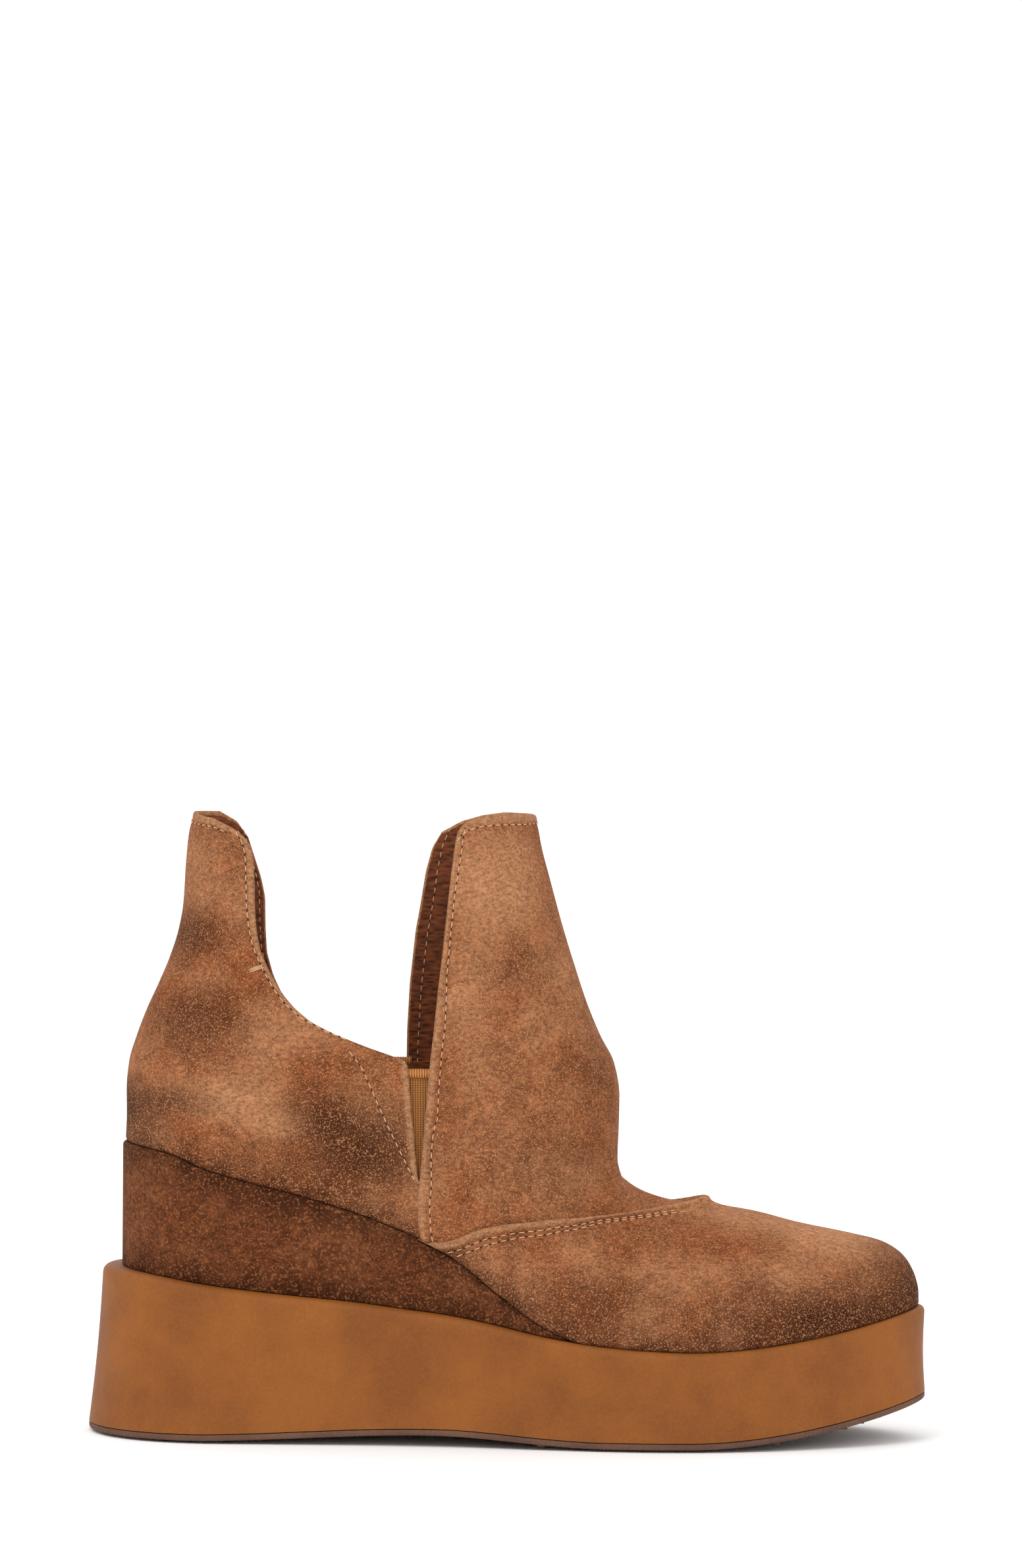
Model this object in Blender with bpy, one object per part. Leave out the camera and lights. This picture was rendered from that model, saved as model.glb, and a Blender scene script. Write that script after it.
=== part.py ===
"""Wedge ankle boot, right foot: a hollow suede upper with open sides, a wrapped wedge and a flared platform.

Metres, +Z up. +X points to the toe and -Y to the outer (lateral) side. The origin is on the floor,
under the middle of the sole. The boot stands on two flat spots of its outsole, heel and forefoot.
"""
import math
from collections import namedtuple

import bmesh
import bpy
import numpy as np

# Driving dimensions, the sole.
LAST_LENGTH = 0.2495          # along the feather line, where the upper meets what is under it
BALL_BREADTH = 0.0860         # across the feather line at the ball
TOE_SWING = 0.0040            # how far the toe's tip turns to the inner side
HEEL_ROUND = 0.0330           # length of the round end at the heel
TOE_ROUND = 0.0760            # length of the round end at the toe
OUTSOLE_THICKNESS = 0.0030
PLATFORM_BALL = 0.0277        # foam under the ball and the toe
PLATFORM_HEEL = 0.0498        # foam under the back of the heel
WEDGE_HEEL = 0.0393           # wedge under the back of the heel
ARCH_RISE = 0.0028            # how far the outsole's waist clears the floor
TOE_SPRING = 0.0120           # how far the outsole's tip clears the floor
LEDGE = 0.0069                # platform's rim outside the feather line, at the back of the heel
FLARE = 0.0041                # platform's foot outside its own rim, at the back of the heel
RIM_RADIUS = 0.0020
WEDGE_PROUD = 0.0008          # wedge's cover outside the feather line
WEDGE_TIP = 0.0007            # thickness at the wedge's front end
WEDGE_EDGE_INSET = 0.00020    # its top edge is broken by this much, inwards
WEDGE_EDGE_DROP = 0.00007     # and downwards
INSOLE_THICKNESS = 0.0030
INSOLE_TAPER = 0.0009         # how much its edge leans in with the wall around it

# Driving dimensions, the upper.
INSTEP_RISE = 0.0492          # top of the throat above the seat
VAMP_LENGTH = 0.0930          # throat to toe
SHAFT_RISE = 0.1147           # top of the throat to the top line, in front
SHAFT_LEAN = 0.0282           # how far the shaft's front leans back on that way
COLLAR_RISE = 0.1044          # heel seat to the top line, behind
BACK_LEAN = 0.0209            # how far the back line leans forward on that way
SHAFT_BREADTH = 0.0600        # across the shaft at the ankle
SHAFT_NOSE = 0.0380           # length of the shaft's round front
WALL = 0.0019                 # suede and lining together
LAP = 0.0008                  # step where one panel lies on another
LIP_RISE = 0.0016             # how far the vamp's edge stands up at the instep
GORE_THICKNESS = 0.0012
GORE_MARGIN = 0.0080          # elastic hidden behind the suede on each side of the notch

CLEARANCE = 0.0003            # between two pieces that touch
GORE_CLEARANCE = 0.0006       # between the elastic and the lining that it is sewn to
OVERRUN = 0.0080              # how far a form runs past the cut that trims it
CUT_REACH = 0.1200            # half width of a cutter

OVERLAP = 0.0010              # how far the cutters of the two sides run into each other

# Shape of the sections.
SPRING_POWER = 1.8            # how suddenly the toe springs, 1 a straight ramp
SWING_RANGE = (0.55, 1.05)    # stations between which the middle line turns
INSTEP_SLOPE = 0.80           # how steeply the foot's own ridge goes on up inside the shaft
INSTEP_CURVE = 0.0850         # and over what length it steepens
INSTEP_POWER = 1.45           # crown of the section at the instep, 1 a gable and 2 an ellipse
TOE_POWER = 2.45
HEEL_POWER = 2.1
CROWN_START = 0.10            # share of VAMP_LENGTH behind the throat where the crown is the instep's
SHAFT_LEVEL = 0.64            # level at which the sides have wholly become the shaft's
LIP_PLACE = 0.29              # share of VAMP_LENGTH in front of the throat
LIP_LENGTH = 0.0075
LIP_BREADTH = 0.0160
LIP_HEIGHTS = (0.6, 0.9)      # shares of INSTEP_RISE between which the lip fades in

# Fineness of the meshes.
OUTLINE_POINTS = 54           # on each side of a sole
FORM_POINTS = 26              # on each side of a form of the upper
ANGLE_STEP = 0.04             # for the slope of the form's surface
LEVEL_STEP = 0.004
THROAT_ROWS = (6, 13)         # the loops between these rows of LOOPS are twice as close
RIDGE_POINTS = 60
SEAT_POINTS = 70
SEARCH_POINTS = 2000
SEARCH_STEPS = 40
GORE_COLUMNS = 6
GORE_ROWS = 8

# Stations are shares of LAST_LENGTH from the heel. Breadths are shares of half the ball's breadth.
Breadth = namedtuple("Breadth", "station lateral medial")
BREADTHS = (
    Breadth(0.00, 0.720, 0.700),
    Breadth(0.13, 0.725, 0.700),
    Breadth(0.30, 0.735, 0.655),
    Breadth(0.42, 0.780, 0.660),
    Breadth(0.55, 0.900, 0.790),
    Breadth(0.68, 1.000, 0.955),
    Breadth(0.76, 0.985, 1.000),
    Breadth(0.86, 0.930, 0.960),
    Breadth(1.00, 0.820, 0.860),
)

# Thickness of the foam between PLATFORM_BALL, 0, and PLATFORM_HEEL, 1, and of the wedge as a share.
Sole = namedtuple("Sole", "station foam wedge")
SOLES = (
    Sole(-0.05, 1.000, 1.015),
    Sole(0.00, 0.975, 1.000),
    Sole(0.06, 0.910, 0.985),
    Sole(0.11, 0.825, 0.912),
    Sole(0.16, 0.740, 0.860),
    Sole(0.225, 0.632, 0.800),
    Sole(0.295, 0.522, 0.710),
    Sole(0.37, 0.392, 0.590),
    Sole(0.426, 0.315, 0.453),
    Sole(0.483, 0.233, 0.245),
    Sole(0.515, 0.183, 0.140),
    Sole(0.55, 0.135, 0.052),
    Sole(0.59, 0.090, 0.000),
    Sole(0.67, 0.022, 0.000),
    Sole(0.73, 0.000, 0.000),
    Sole(1.05, 0.000, 0.000),
)
HEEL_FLAT_END = 0.085
ARCH_TOP = 0.40
BALL_FLAT_START = 0.615
SPRING_START = 0.725

# How far the platform's rim stands out, as shares of LEDGE, and its foot, as shares of FLARE.
Ledge = namedtuple("Ledge", "station rim foot")
LEDGES = (
    Ledge(0.00, 1.00, 1.00),
    Ledge(0.10, 0.80, 0.85),
    Ledge(0.30, 0.68, 0.72),
    Ledge(0.50, 0.60, 0.50),
    Ledge(0.70, 0.42, 0.28),
    Ledge(0.85, 0.44, 0.18),
    Ledge(1.00, 0.50, 0.08),
)

# Places that follow from the sizes.
HEEL_LEDGE = LEDGE * LEDGES[0].rim + FLARE * LEDGES[0].foot
TOE_LEDGE = LEDGE * LEDGES[-1].rim + FLARE * LEDGES[-1].foot
BACK_X = -(LAST_LENGTH + HEEL_LEDGE + TOE_LEDGE) / 2
FRONT_X = -BACK_X
HEEL_X = BACK_X + HEEL_LEDGE
TOE_X = HEEL_X + LAST_LENGTH
THROAT_X = TOE_X - VAMP_LENGTH

# Loops of the upper from the feather line to the top line. reach and rise place the loop's front end
# on the vamp's ridge (shares of VAMP_LENGTH and INSTEP_RISE), lean and lift place it on the shaft's
# front (shares of SHAFT_LEAN and SHAFT_RISE), back is its height on the back line (share of
# COLLAR_RISE). seat is how much it follows the seat, shaft how much its section is the shaft's.
Loop = namedtuple("Loop", "reach rise lean lift back seat shaft")
LOOPS = (
    Loop(1.000, 0.000, 0.000, 0.000, 0.000, 1.00, 0.00),
    Loop(0.999, 0.092, 0.000, 0.000, 0.030, 1.00, 0.00),
    Loop(0.990, 0.175, 0.000, 0.000, 0.055, 1.00, 0.00),
    Loop(0.960, 0.303, 0.000, 0.000, 0.080, 1.00, 0.00),
    Loop(0.895, 0.427, 0.000, 0.000, 0.105, 1.00, 0.00),
    Loop(0.772, 0.540, 0.000, 0.000, 0.130, 1.00, 0.00),
    Loop(0.600, 0.664, 0.000, 0.000, 0.155, 1.00, 0.00),
    Loop(0.437, 0.780, 0.000, 0.000, 0.180, 1.00, 0.00),
    Loop(0.279, 0.846, 0.000, 0.000, 0.205, 1.00, 0.02),
    Loop(0.156, 0.876, 0.000, 0.000, 0.230, 0.95, 0.12),
    Loop(0.060, 0.929, 0.000, 0.000, 0.255, 0.85, 0.34),
    Loop(0.000, 1.000, 0.000, 0.000, 0.280, 0.72, 0.62),
    Loop(0.000, 1.000, 0.053, 0.052, 0.308, 0.58, 0.86),
    Loop(0.000, 1.000, 0.048, 0.138, 0.350, 0.42, 0.98),
    Loop(0.000, 1.000, 0.040, 0.227, 0.400, 0.28, 1.00),
    Loop(0.000, 1.000, 0.100, 0.314, 0.450, 0.16, 1.00),
    Loop(0.000, 1.000, 0.250, 0.386, 0.500, 0.08, 1.00),
    Loop(0.000, 1.000, 0.404, 0.475, 0.560, 0.02, 1.00),
    Loop(0.000, 1.000, 0.560, 0.588, 0.630, 0.00, 1.00),
    Loop(0.000, 1.000, 0.709, 0.706, 0.710, 0.00, 1.00),
    Loop(0.000, 1.000, 0.837, 0.820, 0.800, 0.00, 1.00),
    Loop(0.000, 1.000, 0.936, 0.911, 0.900, 0.00, 1.00),
    Loop(0.000, 1.000, 1.000, 1.000, 1.000, 0.00, 1.00),
)

# The back line: its lean (share of BACK_LEAN), and the shaft's half breadth and the length of its
# round back (shares of half SHAFT_BREADTH and of HEEL_ROUND), by height (share of COLLAR_RISE).
Back = namedtuple("Back", "height lean breadth round")
BACKS = (
    Back(0.00, 0.000, 1.03, 1.00),
    Back(0.08, 0.015, 1.03, 1.00),
    Back(0.16, 0.010, 1.02, 1.02),
    Back(0.24, 0.045, 1.00, 1.05),
    Back(0.32, 0.160, 0.985, 1.08),
    Back(0.40, 0.310, 0.975, 1.12),
    Back(0.48, 0.490, 0.965, 1.16),
    Back(0.56, 0.655, 0.955, 1.18),
    Back(0.64, 0.780, 0.940, 1.20),
    Back(0.72, 0.850, 0.920, 1.20),
    Back(0.84, 0.885, 0.890, 1.20),
    Back(0.92, 0.920, 0.875, 1.20),
    Back(1.00, 1.000, 0.870, 1.20),
)

# Lines of the pattern in the side view, as shares of the collar: forward from the heel's back
# (share of COLLAR_REACH) and up from the heel's seat (share of COLLAR_RISE).
COLLAR_REACH = THROAT_X - SHAFT_LEAN - HEEL_X
TAB_AND_FLOOR_LATERAL = (
    (0.150, 1.010), (0.215, 0.998), (0.267, 0.971), (0.298, 0.942), (0.317, 0.907), (0.325, 0.868),
    (0.326, 0.790), (0.325, 0.710), (0.327, 0.650), (0.333, 0.591), (0.356, 0.536), (0.379, 0.492),
    (0.401, 0.455), (0.428, 0.420), (0.470, 0.380), (0.530, 0.344), (0.613, 0.305), (0.674, 0.280),
    (0.709, 0.264),
)
TAB_AND_FLOOR_MEDIAL = (
    (0.150, 1.010), (0.210, 0.996), (0.250, 0.965), (0.278, 0.915), (0.298, 0.840), (0.311, 0.790),
    (0.321, 0.730), (0.322, 0.640), (0.326, 0.570), (0.344, 0.508), (0.364, 0.460), (0.388, 0.420),
    (0.415, 0.384), (0.455, 0.345), (0.510, 0.311), (0.580, 0.278), (0.620, 0.263), (0.643, 0.256),
)
NOTCH_TIP_LATERAL = (0.740, -0.088)
NOTCH_TIP_MEDIAL = (0.672, -0.088)
NOTCH_FOOT = 0.00075          # width of the notch's flat tip
SHAFT_REAR_LATERAL = (
    (0.762, 0.236), (0.766, 0.286), (0.773, 0.364), (0.782, 0.483), (0.793, 0.602), (0.803, 0.719),
    (0.812, 0.818), (0.820, 0.897), (0.827, 0.946), (0.838, 0.970), (0.857, 0.985), (0.889, 0.996),
    (0.930, 1.000), (0.985, 1.000), (1.060, 0.985),
)
SHAFT_REAR_MEDIAL = (
    (0.677, 0.236), (0.678, 0.328), (0.684, 0.470), (0.698, 0.632), (0.707, 0.692), (0.715, 0.753),
    (0.723, 0.814), (0.739, 0.885), (0.764, 0.934), (0.815, 0.968), (0.870, 0.988), (0.930, 1.000),
    (0.985, 1.000), (1.060, 0.985),
)
PANEL_REAR_LATERAL = (
    (0.737, 0.236), (0.741, -0.088), (0.736, -0.164), (0.740, -0.222), (0.7455, -0.272), (0.750, -0.350),
)
PANEL_REAR_MEDIAL = (
    (0.660, 0.236), (0.673, -0.088), (0.669, -0.150), (0.676, -0.222), (0.689, -0.300), (0.700, -0.370),
)
PANEL_SPARE = 0.012           # share of COLLAR_REACH that the panel's form runs past the shaft's rear edge
PANEL_HEIGHTS = (0.24, 0.95)  # and the heights between which it does
TAB_PASS = 1.02               # height at which the opening's outline passes behind the heel tab
SHAFT_PASS = 0.97             # and in front of the shaft
Side = namedtuple("Side", "name sign tab_and_floor tip shaft_rear panel_rear")
LATERAL = Side(
    "lateral", -1, TAB_AND_FLOOR_LATERAL, NOTCH_TIP_LATERAL, SHAFT_REAR_LATERAL, PANEL_REAR_LATERAL
)
MEDIAL = Side("medial", 1, TAB_AND_FLOOR_MEDIAL, NOTCH_TIP_MEDIAL, SHAFT_REAR_MEDIAL, PANEL_REAR_MEDIAL)
LAP_LINE = (
    (0.660, -0.345), (0.700, -0.306), (0.741, -0.278), (0.777, -0.270), (0.808, -0.268), (0.840, -0.256),
    (0.889, -0.229), (0.952, -0.215), (1.048, -0.203), (1.159, -0.197), (1.255, -0.189), (1.318, -0.180),
    (1.350, -0.174), (1.420, -0.160),
)

# Colours, from the photograph, as linear values, with roughness.
Finish = namedtuple("Finish", "colour roughness")
FINISHES = {
    "suede": Finish((0.352, 0.156, 0.070), 0.95),
    "dark_suede": Finish((0.262, 0.100, 0.042), 0.95),
    "foam": Finish((0.430, 0.175, 0.034), 0.70),
    "rubber": Finish((0.150, 0.082, 0.055), 0.80),
    "elastic": Finish((0.450, 0.205, 0.060), 0.85),
    "lining": Finish((0.130, 0.055, 0.028), 0.60),
}


def follow(stations, values, at):
    """A smooth curve through a table's rows that never swings past them."""
    x = np.asarray(stations, float)
    y = np.asarray(values, float)
    at = np.asarray(at, float)
    step = np.diff(x)
    slope = np.diff(y) / step
    product = slope[:-1] * slope[1:]
    total = np.where(np.abs(slope[:-1] + slope[1:]) > 1e-12, slope[:-1] + slope[1:], 1.0)
    inner = np.where(product > 0, 2 * product / total, 0.0)
    tangent = np.concatenate(([slope[0]], inner, [slope[-1]]))
    cell = np.clip(np.searchsorted(x, at, side="right") - 1, 0, len(step) - 1)
    t = np.clip((at - x[cell]) / step[cell], 0.0, 1.0)
    return (
        (1 + 2 * t) * (1 - t) ** 2 * y[cell]
        + t * (1 - t) ** 2 * step[cell] * tangent[cell]
        + t * t * (3 - 2 * t) * y[cell + 1]
        + t * t * (t - 1) * step[cell] * tangent[cell + 1]
    )


def column(table, name):
    return [getattr(row, name) for row in table]


def look_up(table, name, at):
    """A named column of a table, read at a station given by its first column."""
    return follow([row[0] for row in table], column(table, name), at)


def station(x):
    return (np.asarray(x, float) - HEEL_X) / LAST_LENGTH


def ease(low, high, at):
    """0 below low, 1 above high, and a smooth step between."""
    t = np.clip((np.asarray(at, float) - low) / (high - low), 0.0, 1.0)
    return t * t * (3 - 2 * t)


def round_end(distance, length, power=2.1):
    """Share of the full breadth at a distance from a round end of this length."""
    t = np.clip(1 - np.asarray(distance, float) / length, 0.0, 1.0)
    return (1 - t ** power) ** (1 / power)


# Heights along the shoe.
def floor_line(x):
    """Underside of the outsole: flat at heel and ball, arched between, sprung at the toe."""
    at = station(x)
    arch = ARCH_RISE * np.minimum(ease(HEEL_FLAT_END, ARCH_TOP, at), ease(BALL_FLAT_START, ARCH_TOP, at))
    spring_x = HEEL_X + SPRING_START * LAST_LENGTH
    along = np.clip((np.asarray(x, float) - spring_x) / (FRONT_X - spring_x), 0.0, None)
    return arch + TOE_SPRING * along ** SPRING_POWER


def platform_top(x):
    foam = PLATFORM_BALL + (PLATFORM_HEEL - PLATFORM_BALL) * look_up(SOLES, "foam", station(x))
    return floor_line(x) + OUTSOLE_THICKNESS + foam


def seat(x):
    """Top of the wedge and, in front of it, of the platform."""
    return platform_top(x) + WEDGE_HEEL * look_up(SOLES, "wedge", station(x))


# The feather line in plan.
def middle(x):
    """The shoe's own middle line, which turns to the inner side at the toe."""
    return TOE_SWING * ease(*SWING_RANGE, station(x)) / ease(*SWING_RANGE, 1.0)


def half_breadth(x, side):
    """Half breadth of the feather line before its heel is rounded: side -1 is lateral, 1 medial."""
    at = station(x)
    share = np.where(np.asarray(side) < 0, look_up(BREADTHS, "lateral", at), look_up(BREADTHS, "medial", at))
    return BALL_BREADTH / 2 * share * round_end(TOE_X - x, TOE_ROUND)


def stations_around(count):
    """Shares from 0 to 1, close together at both ends."""
    return (1 - np.cos(np.linspace(0.0, math.pi, count + 1))) / 2


def feather_ring(last_x=TOE_X):
    """The feather line as points (x, y), down the lateral side to the toe and back up the medial."""
    x = HEEL_X + (last_x - HEEL_X) * stations_around(OUTLINE_POINTS)
    sides = []
    for side in (-1, 1):
        y = middle(x) + side * half_breadth(x, side) * round_end(x - HEEL_X, HEEL_ROUND)
        sides.append(np.column_stack((x, y)))
    return np.concatenate((sides[0], sides[1][-2:0:-1]))


def grown(ring, amount):
    """A ring moved outwards by an amount at each of its points."""
    along = np.roll(ring, -1, axis=0) - np.roll(ring, 1, axis=0)
    out = np.column_stack((along[:, 1], -along[:, 0]))
    out /= np.linalg.norm(out, axis=1)[:, None]
    return ring + out * np.broadcast_to(amount, len(ring))[:, None]


# Sections of the upper.
def loop_at(level, name):
    """A column of LOOPS at a level, 0 at the feather line and 1 at the top line."""
    rows = np.linspace(0.0, 1.0, len(LOOPS))
    return follow(rows, column(LOOPS, name), level)


def front_end(level):
    x = THROAT_X + VAMP_LENGTH * loop_at(level, "reach") - SHAFT_LEAN * loop_at(level, "lean")
    rise = INSTEP_RISE * loop_at(level, "rise") + SHAFT_RISE * loop_at(level, "lift")
    return x, seat(np.maximum(x, THROAT_X)) + rise


def back_end(level):
    height = loop_at(level, "back")
    return HEEL_X + BACK_LEAN * look_up(BACKS, "lean", height), seat(HEEL_X) + COLLAR_RISE * height


# The vamp's ridge, from the toe to the throat, where the loops' front ends stop moving back.
THROAT_ROW = column(LOOPS, "reach").index(0.0)
RIDGE_X, RIDGE_Z = front_end(np.linspace(0.0, THROAT_ROW / (len(LOOPS) - 1), RIDGE_POINTS))


def ridge(x):
    """Height of the vamp's ridge, carried on upwards behind the throat."""
    on_vamp = np.interp(x, RIDGE_X[::-1], RIDGE_Z[::-1])
    behind = np.clip(THROAT_X - np.asarray(x, float), 0.0, None)
    return on_vamp + INSTEP_SLOPE * behind + behind ** 2 / INSTEP_CURVE


def foot_breadth(x, z, side):
    """Half breadth of the foot part at a height: a crowned section between the seat and the ridge."""
    share = np.clip((z - seat(x)) / np.maximum(ridge(x) - seat(x), 1e-6), 0.0, 1.0)
    crown_x = THROAT_X - CROWN_START * VAMP_LENGTH
    power = INSTEP_POWER + (TOE_POWER - INSTEP_POWER) * ease(crown_x, TOE_X, x)
    power = power + (HEEL_POWER - INSTEP_POWER) * ease(crown_x, HEEL_X, x)
    return half_breadth(x, side) * (1 - share ** power) ** (1 / power)


def shaft_breadth(level, x, front_x):
    """Half breadth of the shaft, round in front."""
    height = loop_at(level, "back")
    return SHAFT_BREADTH / 2 * look_up(BACKS, "breadth", height) * round_end(front_x - x, SHAFT_NOSE, 2.0)


def on_upper(level, share, side):
    """A point of the upper's outer form, from its level and its share of the way to the front."""
    front_x, front_z = front_end(level)
    back_x, back_z = back_end(level)
    x = back_x + (front_x - back_x) * share
    under_back = seat(back_x)
    under_front = seat(front_x)
    sag = seat(x) - (under_back + (under_front - under_back) * share)
    z = back_z + (front_z - back_z) * share + loop_at(level, "seat") * sag
    in_front = loop_at(level, "shaft")
    behind = ease(0.0, SHAFT_LEVEL, level)
    blend = in_front + (behind - in_front) * ease(THROAT_X, THROAT_X - SHAFT_BREADTH, x)
    half = (1 - blend) * foot_breadth(x, z, side) + blend * shaft_breadth(level, x, front_x)
    heel = round_end(x - back_x, HEEL_ROUND * look_up(BACKS, "round", loop_at(level, "back")))
    return np.stack((x, middle(x) + side * half * heel, z), axis=-1)


def around_upper(level, angle, offset=0.0):
    """A point at an angle, 0 at the back, pi at the front, moved out of the form by offset."""
    def place(at_level, at_angle):
        share = (1 - np.cos(at_angle)) / 2
        return on_upper(np.clip(at_level, 0.0, 1.0), share, np.where(np.sin(at_angle) > 0, -1, 1))

    here = place(level, angle)
    around = place(level, angle + ANGLE_STEP) - place(level, angle - ANGLE_STEP)
    upward = place(level + LEVEL_STEP, angle) - place(level - LEVEL_STEP, angle)
    out = np.cross(around, upward)
    out /= np.maximum(np.linalg.norm(out, axis=-1), 1e-15)[..., None]
    return here + out * offset


def lip(points):
    """The vamp's edge standing up a little over the instep's middle."""
    place = THROAT_X + LIP_PLACE * VAMP_LENGTH
    along = np.exp(-(((points[..., 0] - place) / LIP_LENGTH) ** 2))
    across = np.exp(-((points[..., 1] / LIP_BREADTH) ** 2))
    high = ease(*LIP_HEIGHTS, (points[..., 2] - seat(points[..., 0])) / INSTEP_RISE)
    return along * across * high


def form_levels():
    """A level for each row of LOOPS, with more of them where the throat turns."""
    last = len(LOOPS) - 1
    rows = list(range(last + 1)) + [row + 0.5 for row in range(*THROAT_ROWS)]
    return np.sort(np.array(rows, float)) / last


def form_grid(offset, lip_rise=0.0):
    """Rows of loops of the outer form, moved outwards by offset."""
    angles = np.linspace(0.0, 2 * math.pi, 2 * FORM_POINTS, endpoint=False)
    grid = around_upper(form_levels()[:, None], angles[None, :], offset)
    grid[..., 2] += lip_rise * lip(grid)
    return grid


# Meshes.
def new_object(name, vertices, faces, collection):
    mesh = bpy.data.meshes.new(name)
    mesh.from_pydata([tuple(map(float, point)) for point in vertices], [], faces)
    mesh.validate()
    thing = bpy.data.objects.new(name, mesh)
    collection.objects.link(thing)
    return thing


def closed_loft(name, rings, collection):
    """A closed body through rings of points, capped by strips between each ring's two halves."""
    rings = np.asarray(rings, float)
    rows, count = rings.shape[:2]
    half = count // 2
    faces = []
    for row in range(rows - 1):
        for point in range(count):
            after = (point + 1) % count
            low = row * count
            high = low + count
            faces.append((low + point, low + after, high + after, high + point))
    for base, flip in ((0, True), ((rows - 1) * count, False)):
        for point in range(half):
            near = base + point
            near_next = base + point + 1
            far_next = base + (count - point - 1) % count
            far = base + (count - point) % count
            corners = [near, near_next, far_next, far]
            corners = [corner for place, corner in enumerate(corners) if corner not in corners[:place]]
            faces.append(tuple(reversed(corners)) if flip else tuple(corners))
    return new_object(name, rings.reshape(-1, 3), faces, collection)


def with_height(ring, height):
    """A plan ring lifted to a height that depends on x."""
    return np.column_stack((ring, height(ring[:, 0])))


def side_prism(name, outline, low_y, high_y, collection):
    """A cutter: an outline in the side view, given as (x, z) points, drawn through the shoe along Y."""
    count = len(outline)
    vertices = [(x, low_y, z) for x, z in outline] + [(x, high_y, z) for x, z in outline]
    faces = [tuple(range(count)), tuple(range(2 * count - 1, count - 1, -1))]
    for point in range(count):
        after = (point + 1) % count
        faces.append((after, point, count + point, count + after))
    prism = new_object(name, vertices, faces, collection)
    make_faces_point_out(prism)
    return prism


def make_faces_point_out(thing):
    work = bmesh.new()
    work.from_mesh(thing.data)
    bmesh.ops.recalc_face_normals(work, faces=work.faces)
    work.to_mesh(thing.data)
    work.free()


def combine(target, tool, operation):
    """A Boolean between two closed bodies, applied at once."""
    modifier = target.modifiers.new(operation.lower(), "BOOLEAN")
    modifier.operation = operation
    modifier.solver = "EXACT"
    modifier.object = tool
    bpy.context.view_layer.update()
    evaluated = target.evaluated_get(bpy.context.evaluated_depsgraph_get())
    result = bpy.data.meshes.new_from_object(evaluated)
    target.modifiers.clear()
    old = target.data
    target.data = result
    bpy.data.meshes.remove(old)


def material(name):
    finish = FINISHES[name]
    made = bpy.data.materials.new(name)
    made.use_nodes = True
    shader = made.node_tree.nodes["Principled BSDF"]
    shader.inputs["Base Color"].default_value = (*finish.colour, 1.0)
    shader.inputs["Roughness"].default_value = finish.roughness
    shader.inputs["Metallic"].default_value = 0.0
    made.diffuse_color = (*finish.colour, 1.0)
    return made


def dress(thing, finish, smooth_angle=30):
    thing.data.materials.clear()
    thing.data.materials.append(finish)
    thing.data.shade_smooth()
    thing.data.set_sharp_from_angle(angle=math.radians(smooth_angle))


# Pieces.
def sole_ring(share_of_flare, inset=0.0):
    """The platform's outline, from its rim, 0, to its foot, 1."""
    ring = feather_ring()
    at = station(ring[:, 0])
    reach = LEDGE * look_up(LEDGES, "rim", at) + FLARE * look_up(LEDGES, "foot", at) * share_of_flare
    return grown(ring, reach - inset)


def make_outsole(collection):
    edge = OUTSOLE_THICKNESS / 3
    top = OUTSOLE_THICKNESS - CLEARANCE
    rings = [
        with_height(sole_ring(1.0, edge), floor_line),
        with_height(sole_ring(1.0), lambda x: floor_line(x) + edge),
        with_height(sole_ring(1.0), lambda x: floor_line(x) + top),
    ]
    return closed_loft("outsole", rings, collection)


def make_platform(collection):
    def between(share, drop=0.0):
        return lambda x: (1 - share) * (floor_line(x) + OUTSOLE_THICKNESS) + share * platform_top(x) - drop

    rings = [with_height(sole_ring(1.0), between(0.0))]
    rings.append(with_height(sole_ring(0.5), between(0.5)))
    for turn in (0, 30, 60, 90):
        angle = math.radians(turn)
        inset = RIM_RADIUS * (1 - math.cos(angle))
        drop = RIM_RADIUS * (1 - math.sin(angle))
        rings.append(with_height(sole_ring(0.0, inset), between(1.0, drop)))
    return closed_loft("platform", rings, collection)


def wedge_end():
    """x of the wedge's front end, where it has thinned to its tip."""
    x = np.linspace(HEEL_X, TOE_X, SEARCH_POINTS)
    thick = WEDGE_HEEL * look_up(SOLES, "wedge", station(x)) - CLEARANCE
    return float(x[thick > WEDGE_TIP][-1])


def make_wedge(collection):
    ring = feather_ring(wedge_end())
    cover = grown(ring, WEDGE_PROUD)
    rings = [
        with_height(cover, lambda x: platform_top(x) + CLEARANCE),
        with_height(cover, lambda x: seat(x) - WEDGE_EDGE_DROP),
        with_height(grown(ring, WEDGE_PROUD - WEDGE_EDGE_INSET), seat),
    ]
    return closed_loft("wedge", rings, collection)


def make_insole(collection):
    ring = feather_ring()
    low = grown(ring, -(WALL + 2 * CLEARANCE))
    high = grown(low, -INSOLE_TAPER)
    rings = [
        with_height(low, lambda x: seat(x) + CLEARANCE),
        with_height(high, lambda x: seat(x) + CLEARANCE + INSOLE_THICKNESS),
    ]
    return closed_loft("insole", rings, collection)


def pattern_point(share):
    """A point of the pattern, from shares of the collar to x and z."""
    return HEEL_X + COLLAR_REACH * share[0], float(seat(HEEL_X)) + COLLAR_RISE * share[1]


def pattern_line(shares):
    return [pattern_point(share) for share in shares]


def make_form(name, offset, overrun, collection, lip_rise=0.0):
    """A closed outer or inner form of the upper that runs past the seat and the top line."""
    grid = form_grid(offset, lip_rise)
    below = grid[:1] - np.array((0.0, 0.0, overrun))
    above = grid[-1:] + np.array((0.0, 0.0, overrun))
    return closed_loft(name, np.concatenate((below, grid, above)), collection)


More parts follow.
